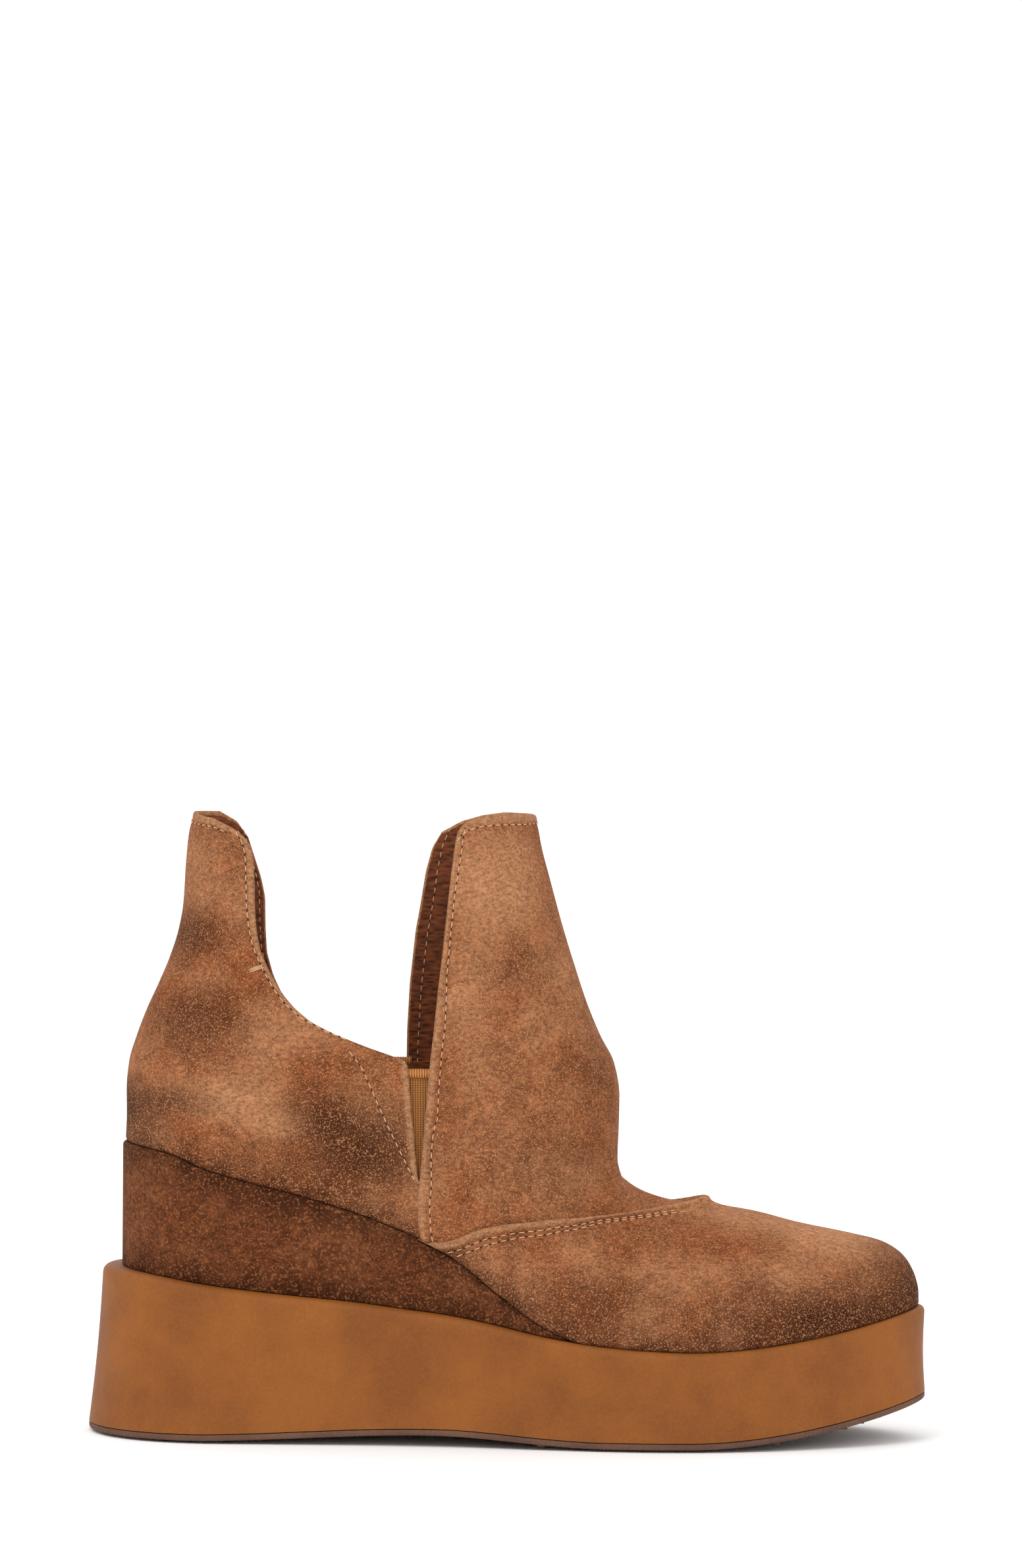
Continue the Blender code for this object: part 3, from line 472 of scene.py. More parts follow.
def seat(x):
    """Top of the wedge and, in front of it, of the platform."""
    return platform_top(x) + WEDGE_HEEL * look_up(SOLES, "wedge", station(x))


# The feather line in plan.
def middle(x):
    """The shoe's own middle line, which turns to the inner side at the toe."""
    return TOE_SWING * ease(*SWING_RANGE, station(x)) / ease(*SWING_RANGE, 1.0)


def half_breadth(x, side):
    """Half breadth of the feather line before its heel is rounded: side -1 is lateral, 1 medial."""
    at = station(x)
    share = np.where(np.asarray(side) < 0, look_up(BREADTHS, "lateral", at), look_up(BREADTHS, "medial", at))
    return BALL_BREADTH / 2 * share * round_end(TOE_X - x, TOE_ROUND)


def stations_around(count):
    """Shares from 0 to 1, close together at both ends."""
    return (1 - np.cos(np.linspace(0.0, math.pi, count + 1))) / 2


def feather_ring(last_x=TOE_X):
    """The feather line as points (x, y), down the lateral side to the toe and back up the medial."""
    x = HEEL_X + (last_x - HEEL_X) * stations_around(OUTLINE_POINTS)
    sides = []
    for side in (-1, 1):
        y = middle(x) + side * half_breadth(x, side) * round_end(x - HEEL_X, HEEL_ROUND)
        sides.append(np.column_stack((x, y)))
    return np.concatenate((sides[0], sides[1][-2:0:-1]))


def grown(ring, amount):
    """A ring moved outwards by an amount at each of its points."""
    along = np.roll(ring, -1, axis=0) - np.roll(ring, 1, axis=0)
    out = np.column_stack((along[:, 1], -along[:, 0]))
    out /= np.linalg.norm(out, axis=1)[:, None]
    return ring + out * np.broadcast_to(amount, len(ring))[:, None]


print("The seat is", round(float(seat(HEEL_X)), 4), "m above the floor at the heel")

# %% [markdown]
# Next is the upper's own form. A point on it has a level, 0 at the feather line and 1 at the top
# line, and an angle, 0 at the back and pi at the front. It can be moved outwards along the
# surface's own normal, which is how one layer of leather comes to lie on another.

# %% Form of the upper
def loop_at(level, name):
    """A column of LOOPS at a level, 0 at the feather line and 1 at the top line."""
    rows = np.linspace(0.0, 1.0, len(LOOPS))
    return follow(rows, column(LOOPS, name), level)


def front_end(level):
    x = THROAT_X + VAMP_LENGTH * loop_at(level, "reach") - SHAFT_LEAN * loop_at(level, "lean")
    rise = INSTEP_RISE * loop_at(level, "rise") + SHAFT_RISE * loop_at(level, "lift")
    return x, seat(np.maximum(x, THROAT_X)) + rise


def back_end(level):
    height = loop_at(level, "back")
    return HEEL_X + BACK_LEAN * look_up(BACKS, "lean", height), seat(HEEL_X) + COLLAR_RISE * height


# The vamp's ridge, from the toe to the throat, where the loops' front ends stop moving back.
THROAT_ROW = column(LOOPS, "reach").index(0.0)
RIDGE_X, RIDGE_Z = front_end(np.linspace(0.0, THROAT_ROW / (len(LOOPS) - 1), RIDGE_POINTS))


def ridge(x):
    """Height of the vamp's ridge, carried on upwards behind the throat."""
    on_vamp = np.interp(x, RIDGE_X[::-1], RIDGE_Z[::-1])
    behind = np.clip(THROAT_X - np.asarray(x, float), 0.0, None)
    return on_vamp + INSTEP_SLOPE * behind + behind ** 2 / INSTEP_CURVE


def foot_breadth(x, z, side):
    """Half breadth of the foot part at a height: a crowned section between the seat and the ridge."""
    share = np.clip((z - seat(x)) / np.maximum(ridge(x) - seat(x), 1e-6), 0.0, 1.0)
    crown_x = THROAT_X - CROWN_START * VAMP_LENGTH
    power = INSTEP_POWER + (TOE_POWER - INSTEP_POWER) * ease(crown_x, TOE_X, x)
    power = power + (HEEL_POWER - INSTEP_POWER) * ease(crown_x, HEEL_X, x)
    return half_breadth(x, side) * (1 - share ** power) ** (1 / power)


def shaft_breadth(level, x, front_x):
    """Half breadth of the shaft, round in front."""
    height = loop_at(level, "back")
    return SHAFT_BREADTH / 2 * look_up(BACKS, "breadth", height) * round_end(front_x - x, SHAFT_NOSE, 2.0)


def on_upper(level, share, side):
    """A point of the upper's outer form, from its level and its share of the way to the front."""
    front_x, front_z = front_end(level)
    back_x, back_z = back_end(level)
    x = back_x + (front_x - back_x) * share
    under_back = seat(back_x)
    under_front = seat(front_x)
    sag = seat(x) - (under_back + (under_front - under_back) * share)
    z = back_z + (front_z - back_z) * share + loop_at(level, "seat") * sag
    in_front = loop_at(level, "shaft")
    behind = ease(0.0, SHAFT_LEVEL, level)
    blend = in_front + (behind - in_front) * ease(THROAT_X, THROAT_X - SHAFT_BREADTH, x)
    half = (1 - blend) * foot_breadth(x, z, side) + blend * shaft_breadth(level, x, front_x)
    heel = round_end(x - back_x, HEEL_ROUND * look_up(BACKS, "round", loop_at(level, "back")))
    return np.stack((x, middle(x) + side * half * heel, z), axis=-1)


def around_upper(level, angle, offset=0.0):
    """A point at an angle, 0 at the back, pi at the front, moved out of the form by offset."""
    def place(at_level, at_angle):
        share = (1 - np.cos(at_angle)) / 2
        return on_upper(np.clip(at_level, 0.0, 1.0), share, np.where(np.sin(at_angle) > 0, -1, 1))

    here = place(level, angle)
    around = place(level, angle + ANGLE_STEP) - place(level, angle - ANGLE_STEP)
    upward = place(level + LEVEL_STEP, angle) - place(level - LEVEL_STEP, angle)
    out = np.cross(around, upward)
    out /= np.maximum(np.linalg.norm(out, axis=-1), 1e-15)[..., None]
    return here + out * offset


def lip(points):
    """The vamp's edge standing up a little over the instep's middle."""
    place = THROAT_X + LIP_PLACE * VAMP_LENGTH
    along = np.exp(-(((points[..., 0] - place) / LIP_LENGTH) ** 2))
    across = np.exp(-((points[..., 1] / LIP_BREADTH) ** 2))
    high = ease(*LIP_HEIGHTS, (points[..., 2] - seat(points[..., 0])) / INSTEP_RISE)
    return along * across * high


print("The ridge at the throat is", round(float(ridge(THROAT_X)), 4), "m high")

# %% [markdown]
# The pattern is known as it shows in the side view, but the panels are built in angle and level.
# A search by halves finds the level of a point that shows at a place, and a few rounds of aiming
# again allow for the thickness of the leather.

# %% From the side view to the form
def level_and_share(x, z):
    """The level and share of the outer form's point that shows at x and z in the side view."""
    low = np.zeros_like(x)
    high = np.ones_like(x)
    for _ in range(SEARCH_STEPS):
        level = (low + high) / 2
        back_x = back_end(level)[0]
        front_x = front_end(level)[0]
        share = np.clip((x - back_x) / (front_x - back_x), 0.0, 1.0)
        too_low = on_upper(level, share, -1)[..., 2] < z
        low = np.where(too_low, level, low)
        high = np.where(too_low, high, level)
    return level, share


def pattern_point(share):
    """A point of the pattern, from shares of the collar to x and z."""
    return HEEL_X + COLLAR_REACH * share[0], float(seat(HEEL_X)) + COLLAR_RISE * share[1]


PATTERN_STEP = 1.0 * MM
AIMING_ROUNDS = 5


def along(line, at):
    """Points of a polyline at shares of its own length."""
    line = np.asarray(line, float)
    steps = np.linalg.norm(np.diff(line, axis=0), axis=1)
    run = np.concatenate(([0.0], np.cumsum(steps)))
    return np.stack([np.interp(np.asarray(at) * run[-1], run, line[:, c]) for c in range(2)], axis=-1)


def unrolled(line, side, offset=0.0):
    """A pattern line's points as (angle, level). Lateral angles are above 0 and medial ones below."""
    wanted = np.array([pattern_point(share) for share in line])
    if len(wanted) > 1:
        length = np.linalg.norm(np.diff(wanted, axis=0), axis=1).sum()
        wanted = along(wanted, np.linspace(0.0, 1.0, int(length / PATTERN_STEP) + 2))
    aim = wanted.copy()
    for _ in range(AIMING_ROUNDS):
        level, share = level_and_share(aim[:, 0], aim[:, 1])
        angle = -side.sign * np.arccos(1 - 2 * share)
        shown = around_upper(level, angle, offset)[:, (0, 2)]
        aim += wanted - shown
    return np.column_stack((angle, level))


print("The notch's tip is at angle and level", unrolled([LATERAL.tip], LATERAL).round(3).tolist())

# %% [markdown]
# Each leather panel is a grid of quads that fills its outline, so its edges are as smooth as its
# middle and need no trimming. A half panel has four borders: the shoe's centre line, a free edge,
# a foot and a head. A Coons patch blends the four borders, and extra columns near the free edges
# give the folded suede its round edge.

# %% Patches between four borders
EDGE_STEPS = np.array((0.0, 0.05, 0.15, 0.30, 0.50, 0.75, 1.10, 1.60, 2.30, 3.20)) * MM
LAST_COLUMNS = np.array((0.97, 1.0))     # shares across a patch between which its breadth is measured


def evened(line, count=160):
    """The same polyline with points evenly spaced on the real surface instead of in angle and level."""
    fine = along(line, np.linspace(0.0, 1.0, 4 * count))
    places = around_upper(fine[:, 1], fine[:, 0])
    run = np.concatenate(([0.0], np.cumsum(np.linalg.norm(np.diff(places, axis=0), axis=1))))
    at = np.interp(np.linspace(0.0, run[-1], count), run, np.arange(len(run)))
    return np.stack([np.interp(at, np.arange(len(run)), fine[:, c]) for c in range(2)], axis=-1)


def border(line, at):
    """An evened border read at shares from 0 to 1."""
    places = np.linspace(0.0, 1.0, len(line))
    return np.stack([np.interp(at, places, line[:, c]) for c in range(2)], axis=-1)


def half_panel(centre, edge, foot, head, rows, columns):
    """Angles and levels of a patch. centre and edge run upwards, foot and head from centre to edge."""
    close = EDGE_STEPS / COLLAR_RISE
    t = np.concatenate((close, np.linspace(close[-1], 1.0 - close[-1], rows)[1:-1], 1.0 - close[::-1]))
    coarse = LAST_COLUMNS[None, :] * np.ones((len(t), 1))

    def blend(s):
        t_here = t[:, None] * np.ones_like(s)
        across = (1 - s)[..., None] * border(centre, t_here) + s[..., None] * border(edge, t_here)
        low = border(foot, s) - ((1 - s)[..., None] * foot[0] + s[..., None] * foot[-1])
        high = border(head, s) - ((1 - s)[..., None] * head[0] + s[..., None] * head[-1])
        return across + (1 - t_here)[..., None] * low + t_here[..., None] * high

    last = blend(coarse)
    gap = np.linalg.norm(np.diff(around_upper(last[..., 1], last[..., 0]), axis=1)[:, 0], axis=1)
    speed = gap / (LAST_COLUMNS[1] - LAST_COLUMNS[0])
    near = 1.0 - EDGE_STEPS[::-1][None, :] / speed[:, None]
    inner = np.linspace(0.0, 1.0, columns)[None, :] * near[:, :1]
    return blend(np.concatenate((inner[:, :-1], near), axis=1))


def run_from(places, axis, backwards):
    """Length along a grid's rows or columns, from its first or last line."""
    if backwards:
        places = np.flip(places, axis)
    steps = np.linalg.norm(np.diff(places, axis=axis), axis=-1)
    shape = list(steps.shape)
    shape[axis] = 1
    run = np.concatenate((np.zeros(shape), np.cumsum(steps, axis=axis)), axis=axis)
    return np.flip(run, axis) if backwards else run


print(len(EDGE_STEPS), "fine columns along each free edge")

# %% [markdown]
# A panel then gets its thickness: an outer skin, an inner skin, and a strip that joins them all
# round. Near a free edge both skins curve towards each other, because the suede is folded there.
# The distance to the nearest free edge is kept as an attribute, for the finish to use.

# %% Thickness, folds and meshes
def rolled(distance, radius):
    """How far a folded edge's surface drops at a distance from the edge."""
    inside = np.clip(1 - distance / radius, 0.0, 1.0)
    return radius * (1 - np.sqrt(1 - inside ** 2))


def shell(name, outer, inner, edge_distance, materials, foot_distance=None):
    """A closed mesh between two grids of points. Inner faces take the second material."""
    rows, columns = outer.shape[:2]
    size = rows * columns
    number = np.arange(size).reshape(rows, columns)
    quads = np.stack((number[:-1, :-1], number[:-1, 1:], number[1:, 1:], number[1:, :-1]), axis=-1)
    quads = quads.reshape(-1, 4)
    inner_quads = quads[:, ::-1] + size
    ring = np.concatenate((number[0], number[1:, -1], number[-1, -2::-1], number[-2::-1, 0]))
    strip_quads = np.stack((ring[1:], ring[:-1], ring[:-1] + size, ring[1:] + size), axis=-1)
    mesh = bpy.data.meshes.new(name)
    points = np.concatenate((outer.reshape(-1, 3), inner.reshape(-1, 3)))
    faces = np.concatenate((quads, inner_quads, strip_quads))
    mesh.from_pydata(points.tolist(), [], faces.tolist())
    for made in materials:
        mesh.materials.append(made)
    if len(materials) > 1:
        place = np.zeros(len(faces), dtype=np.int32)
        inside = edge_distance.reshape(-1)[inner_quads[:, 0] - size] > FOLD_BREADTH
        place[len(quads) : len(quads) + len(inner_quads)] = inside
        mesh.polygons.foreach_set("material_index", place)
    foot_distance = np.full(outer.shape[:2], FAR_OFF) if foot_distance is None else foot_distance
    for label, values in (("edge_distance", edge_distance), ("foot_distance", foot_distance)):
        attribute = mesh.attributes.new(label, "FLOAT", "POINT")
        attribute.data.foreach_set("value", np.tile(values.reshape(-1) / MM, 2))
    thing = bpy.data.objects.new(name, mesh)
    bpy.context.scene.collection.objects.link(thing)
    tidy_mesh(thing)
    return thing


def tidy_mesh(thing, smooth_angle=40):
    """Merges doubled points, turns all faces outwards and shades the piece smooth."""
    work = bmesh.new()
    work.from_mesh(thing.data)
    bmesh.ops.remove_doubles(work, verts=work.verts, dist=0.000002)
    bmesh.ops.dissolve_degenerate(work, edges=work.edges, dist=0.000001)
    bmesh.ops.recalc_face_normals(work, faces=work.faces)
    work.to_mesh(thing.data)
    work.free()
    thing.data.shade_smooth()
    thing.data.set_sharp_from_angle(angle=math.radians(smooth_angle))


FOLD_BREADTH = 1.0 * MM        # suede turned over to the inside along a folded edge
FOLD_ROUND = 0.46              # radius of a folded edge, as a share of its thickness
FAR_OFF = 1.0                  # distance kept for a piece that has no foot
FOOT_ROUND = 1.5 * MM          # how the suede turns under at the feather line
STITCH_INSET = 3.0 * MM        # a seam's distance from the edge beside it
SEAM_DEPTH = 0.22 * MM         # the thread pulls the suede down by this much
SEAM_BREADTH = 0.8 * MM


def trough(distance, place):
    """A soft trough in the suede, 1 deep, at a distance from the edge."""
    return np.exp(-(((distance - place) / SEAM_BREADTH) ** 2))


Crease = namedtuple("Crease", "side ends depth breadth")
CREASES = (                     # ends in x and z, depth above 0 a trough and below 0 a ridge, in mm
    Crease(-1, ((30, 88), (2, 79)), 0.45, 3.0),
    Crease(-1, ((33, 97), (8, 91)), -0.35, 3.5),
    Crease(-1, ((26, 108), (4, 103)), 0.35, 4.0),
    Crease(1, ((30, 90), (0, 80)), 0.50, 3.2),
    Crease(1, ((30, 101), (4, 96)), -0.35, 4.0),
    Crease(-1, ((66, 66), (52, 52)), 0.30, 5.0),
    Crease(1, ((66, 66), (50, 52)), 0.35, 5.0),
    Crease(-1, ((-108, 118), (-84, 112)), 0.30, 4.0),
    Crease(1, ((-108, 120), (-84, 112)), 0.30, 4.0),
)


def creased(points):
    """The height of the soft creases at points of the upper."""
    height = np.zeros(points.shape[:-1])
    for crease in CREASES:
        start, end = (np.array(place) * MM for place in crease.ends)
        reach = end - start
        flat = points[..., (0, 2)] - start
        share = np.clip((flat @ reach) / (reach @ reach), 0.0, 1.0)
        gap = np.linalg.norm(flat - share[..., None] * reach, axis=-1)
        same_side = ease(-4 * MM, 8 * MM, crease.side * points[..., 1])
        height -= crease.depth * MM * np.exp(-((gap / (crease.breadth * MM)) ** 2)) * same_side
    return height


def panel(name, grid, base, distance, foot_distance, materials, relief=0.0, inner=-WALL, radius=None):
    """A leather panel from its grid of angles and levels."""
    angle, level = grid[..., 0], grid[..., 1]
    radius = FOLD_ROUND * (base - np.max(inner)) if radius is None else radius
    edge = rolled(distance, radius)
    foot = rolled(foot_distance, FOOT_ROUND)
    flat = around_upper(level, angle)
    outside = base - edge - foot + relief + creased(flat) * ease(2 * MM, 12 * MM, distance)
    outer = around_upper(level, angle, outside[..., None])
    inside = inner + edge + 0.0 * outside
    inner_skin = around_upper(level, angle, inside[..., None])
    return shell(name, outer, inner_skin, distance, materials, foot_distance)


def both_halves(grids):
    """The medial half turned round and joined to the lateral half at the centre line."""
    lateral, medial = grids
    return np.concatenate((medial[:, :0:-1], lateral), axis=1)


print(len(CREASES), "creases placed by hand")

# %% [markdown]
# Suede is the flesh side of leather, brushed up to a short nap. It has no shine, its colour changes
# in soft patches where the nap lies another way, and single fibres show as fine light and dark
# specks. On this boot it is burnished too: rubbed dark wax at the toe, low on the heel and under
# the tab. Other dark places, low on the sides of the vamp and the quarter, are painted shade, and
# the light places are lighter patches, with painted highlight on the vamp's top, which faces up.
# All those places are set by where they are on the shoe, so each is a soft ball in the piece's own
# coordinates. Near the feather line the suede is darker too, partly wear and partly painted shade.

# %% Suede
Spot = namedtuple("Spot", "place radii strength")
# Rubbed wax at the toe, the heel and under the tab; the places low on the sides of the vamp and the quarter
# are painted shade.
DARK_WAX_AND_SHADE_PLACES = (                 # centres and radii in mm
    Spot((133, 0, 44), (30, 46, 27), 1.0),
    Spot((112, -34, 40), (26, 20, 16), 0.75),
    Spot((112, 36, 40), (26, 20, 16), 0.75),
    Spot((-124, -14, 103), (22, 32, 12), 0.95),
    Spot((-104, -34, 106), (20, 16, 7), 0.65),
    Spot((-102, -16, 158), (20, 26, 11), 0.75),
    Spot((-100, -30, 132), (24, 24, 14), 0.70),
    Spot((-44, -36, 92), (28, 26, 18), 0.90),
    Spot((-58, -34, 104), (14, 26, 10), 0.45),
    Spot((30, -38, 46), (24, 20, 11), 0.50),
    Spot((86, -38, 42), (34, 22, 12), 0.60),
    Spot((34, -20, 118), (20, 24, 15), 0.35),
    Spot((14, -34, 88), (22, 24, 14), 0.30),
    Spot((4, -30, 148), (16, 24, 9), 0.30),
    Spot((-124, 20, 100), (20, 34, 16), 0.60),
    Spot((-96, 26, 158), (20, 26, 12), 0.60),
    Spot((-50, 38, 92), (30, 26, 17), 0.55),
    Spot((40, 44, 46), (50, 22, 14), 0.60),
    Spot((30, 24, 118), (20, 24, 18), 0.35),
)
# Lighter patches; those on the vamp's top, which faces up, are painted highlight.
LIGHT_PATCH_AND_HIGHLIGHT_PLACES = (
    Spot((-88, -38, 107), (22, 22, 9), 0.95),
    Spot((-70, -36, 99), (14, 20, 6), 0.70),
    Spot((-100, -34, 144), (16, 20, 9), 0.55),
    Spot((-102, -14, 178), (16, 22, 16), 0.35),
    Spot((-62, -34, 128), (22, 22, 9), 0.50),
    Spot((-24, -34, 84), (10, 20, 16), 0.45),
    Spot((0, -28, 178), (26, 28, 22), 0.75),
    Spot((-10, -28, 138), (10, 22, 40), 0.45),
    Spot((28, -26, 150), (12, 24, 26), 0.40),
    Spot((104, -12, 66), (22, 26, 11), 0.80),
    Spot((78, -12, 72), (22, 24, 9), 0.45),
    Spot((56, -40, 56), (20, 20, 9), 0.40),
    Spot((92, -40, 56), (14, 20, 7), 0.55),
    Spot((-84, 36, 112), (28, 24, 12), 0.80),
    Spot((0, 28, 172), (26, 28, 28), 0.65),
    Spot((98, 22, 62), (24, 24, 12), 0.65),
)


def soft_ball(tree, position, burnish):
    """1 at a place's centre and 0 beyond its radii; the places are rubbed wax, lighter patches, painted shade
    and painted highlight.
    """
    centre = [value * MM for value in burnish.place]
    spans = [1 / (value * MM) for value in burnish.radii]
    moved = add_node(tree, "ShaderNodeVectorMath", {0: position, 1: centre}, operation="SUBTRACT")
    scaled = add_node(tree, "ShaderNodeVectorMath", {0: moved.outputs[0], 1: spans}, operation="MULTIPLY")
    length = add_node(tree, "ShaderNodeVectorMath", {0: scaled.outputs[0]}, operation="LENGTH")
    fade = add_node(
        tree, "ShaderNodeMapRange",
        {"Value": length.outputs["Value"], "From Min": 0.15, "From Max": 1.25,
         "To Min": burnish.strength, "To Max": 0.0},
        interpolation_type="SMOOTHSTEP",
    )
    return fade.outputs["Result"]


def total(tree, sockets):
    """The sum of several values, not above 1."""
    running = sockets[0]
    for socket in sockets[1:]:
        more = add_node(tree, "ShaderNodeMath", {0: running, 1: socket}, operation="ADD", use_clamp=True)
        running = more.outputs[0]
    return running


def noise(tree, position, grain_mm, detail=2.0, roughness=0.5, stretch=(1.0, 1.0, 1.0)):
    """Noise whose blobs are about grain_mm across."""
    scaled = add_node(tree, "ShaderNodeVectorMath", {0: position, 1: stretch}, operation="MULTIPLY")
    made = add_node(
        tree, "ShaderNodeTexNoise",
        {"Vector": scaled.outputs[0], "Scale": 1 / (grain_mm * MM), "Detail": detail, "Roughness": roughness},
    )
    return made.outputs["Fac"]


def spread(tree, value, low, high, to_low=0.0, to_high=1.0):
    """A value's range between low and high stretched to another range."""
    made = add_node(
        tree, "ShaderNodeMapRange",
        {"Value": value, "From Min": low, "From Max": high, "To Min": to_low, "To Max": to_high},
    )
    return made.outputs["Result"]


def blended(tree, share, first, second):
    """One colour turning into another by a share from 0 to 1. A colour is a value or a socket."""
    mix = add_node(tree, "ShaderNodeMix", data_type="RGBA")
    for place, value in ((0, share), (6, first), (7, second)):
        if isinstance(value, bpy.types.NodeSocket):
            tree.links.new(value, mix.inputs[place])
        else:
            mix.inputs[place].default_value = value
    return mix.outputs[2]


def new_material(name, roughness, specular=0.5):
    """An empty material, its node tree, its shader and the position on the piece."""
    made = bpy.data.materials.new(name)
    made.use_nodes = True
    tree = made.node_tree
    shader = tree.nodes["Principled BSDF"]
    shader.inputs["Roughness"].default_value = roughness
    shader.inputs["Specular IOR Level"].default_value = specular
    position = add_node(tree, "ShaderNodeTexCoord").outputs["Object"]
    return made, tree, shader, position


def suede(name, base, dark, light, fold, nap_mm, nap_strength, burnished_and_lit):
    """Brushed leather: soft patches, a speckled nap, burnished places with painted shade and painted
    highlight among them, wear and painted shade near the foot, and a paler folded edge.
    """
    made, tree, shader, position = new_material(name, 0.92, 0.10)
    shader.inputs["Sheen Weight"].default_value = 0.08
    shader.inputs["Sheen Roughness"].default_value = 0.45
    shader.inputs["Sheen Tint"].default_value = colour(light)
    patches = spread(tree, noise(tree, position, 26.0, 3.0, 0.55), 0.36, 0.64)
    small = spread(tree, noise(tree, position, 6.0, 4.0, 0.65), 0.36, 0.62)
    nap = spread(tree, noise(tree, position, nap_mm, 2.0, 0.65, (0.75, 1.0, 1.25)), 0.33, 0.67)
    fine = spread(tree, noise(tree, position, nap_mm * 0.45, 1.0, 0.5), 0.30, 0.70)
    toned = blended(tree, spread(tree, patches, 0.0, 1.0, 0.0, 0.55), colour(base), colour(light))
    toned = blended(tree, spread(tree, small, 0.0, 1.0, 0.42, 0.0), toned, colour(dark))
    if burnished_and_lit:
        # Lighter patches with painted highlight, then rubbed wax with painted shade.
        lighter = total(tree, [soft_ball(tree, position, place) for place in LIGHT_PATCH_AND_HIGHLIGHT_PLACES])
        toned = blended(tree, lighter, toned, colour(light))
        darker = total(tree, [soft_ball(tree, position, place) for place in DARK_WAX_AND_SHADE_PLACES])
        toned = blended(tree, darker, toned, colour(dark))
    # Darker near the foot: on the upper's panels wear and painted shade where they meet the sole; on the
    # wedge painted shadow under the upper at its top, and darker towards its bottom.
    foot = add_node(tree, "ShaderNodeAttribute", attribute_name="foot_distance").outputs["Fac"]
    worn_and_shaded = add_node(
        tree, "ShaderNodeMath",
        {0: spread(tree, foot, 0.5, 11.0, 0.95, 0.0), 1: spread(tree, small, 0.0, 1.0, 0.95, 0.6)},
        operation="MULTIPLY",
    )
    toned = blended(tree, worn_and_shaded.outputs[0], toned, colour(dark))
    edge = add_node(tree, "ShaderNodeAttribute", attribute_name="edge_distance").outputs["Fac"]
    folded = spread(tree, edge, 1.6, 3.0, 0.75, 0.0)
    toned = blended(tree, folded, toned, colour(fold))
    specks = spread(tree, nap, 0.0, 1.0, nap_strength, 0.0)
    toned = blended(tree, specks, toned, colour(dark))
    tips = spread(tree, fine, 0.55, 1.0, 0.0, nap_strength)
    toned = blended(tree, tips, toned, colour(light))
    tree.links.new(toned, shader.inputs["Base Color"])
    rough = add_node(tree, "ShaderNodeMath", {0: nap, 1: fine}, operation="ADD").outputs[0]
    bump = add_node(tree, "ShaderNodeBump", {"Strength": 0.55, "Distance": 0.35 * MM, "Height": rough})
    tree.links.new(bump.outputs["Normal"], shader.inputs["Normal"])
    return made


NAP_MM = 1.1                    # drawn coarser than the real 0.3 mm fibres, so that it shows
burnished_and_lit_suede = suede("burnished suede", "#93532e", "#381807", "#c08860", "#b4835e", NAP_MM, 0.58, True)
wedge_suede = suede("waxed suede", "#69371d", "#2d1407", "#8e5836", "#69371d", NAP_MM * 1.5, 0.65, False)
print("Suede:", len(burnished_and_lit_suede.node_tree.nodes), "nodes")

# %% [markdown]
# The inside is lined with thin smooth leather that has creased where it was pulled over the form.
# Cells with soft borders give those wrinkles, stretched across the shaft, and the colour is darker in their
# hollows, which is painted shade.

# %% Lining leather
def creased_leather(name, base, dark, wrinkle_mm):
    made, tree, shader, position = new_material(name, 0.6, 0.2)
    wide = noise(tree, position, wrinkle_mm, 3.0, 0.6, (0.6, 0.6, 1.9))
    bent = add_node(tree, "ShaderNodeVectorMath", {0: position, 1: (0.6, 0.6, 1.7)}, operation="MULTIPLY")
    cells = add_node(
        tree, "ShaderNodeTexVoronoi", {"Vector": bent.outputs[0], "Scale": 1 / (wrinkle_mm * 0.8 * MM)},
        feature="SMOOTH_F1",
    ).outputs["Distance"]
    height = add_node(tree, "ShaderNodeMath", {0: wide, 1: cells}, operation="ADD").outputs[0]
    # Darker where the wrinkles are low: painted shade in their hollows.
    tone = spread(tree, height, 0.55, 1.25)
    tree.links.new(blended(tree, tone, colour(dark), colour(base)), shader.inputs["Base Color"])
    bump = add_node(tree, "ShaderNodeBump", {"Strength": 0.5, "Distance": 0.6 * MM, "Height": height})
    tree.links.new(bump.outputs["Normal"], shader.inputs["Normal"])
    return made


lining_leather = creased_leather("creased lining leather", "#80421e", "#3f1d0b", 2.3)
print("Lining:", len(lining_leather.node_tree.nodes), "nodes")

# %% [markdown]
# Under the upper are three plainer materials. The platform is moulded foam, matt, golden tan and
# fine grained. The outsole is taupe rubber. The elastic in the notch is woven: ribs run up it and
# cross threads cut them into small blocks, so its pattern follows a UV map in real millimetres.

# %% Foam, rubber, elastic and thread
def grained(name, base, dark, grain_mm, depth_mm, roughness, specular=0.4):
    made, tree, shader, position = new_material(name, roughness, specular)
    grain = noise(tree, position, grain_mm, 2.0, 0.6)
    cloud = noise(tree, position, 22.0, 3.0, 0.55)
    tone = add_node(
        tree, "ShaderNodeMath",
        {0: spread(tree, grain, 0.3, 0.7, 0.0, 0.3), 1: spread(tree, cloud, 0.35, 0.65, 0.0, 0.5)},
        operation="ADD",
    ).outputs[0]
    tree.links.new(blended(tree, tone, colour(base), colour(dark)), shader.inputs["Base Color"])
    bump = add_node(tree, "ShaderNodeBump", {"Strength": 0.5, "Distance": depth_mm * MM, "Height": grain})
    tree.links.new(bump.outputs["Normal"], shader.inputs["Normal"])
    return made


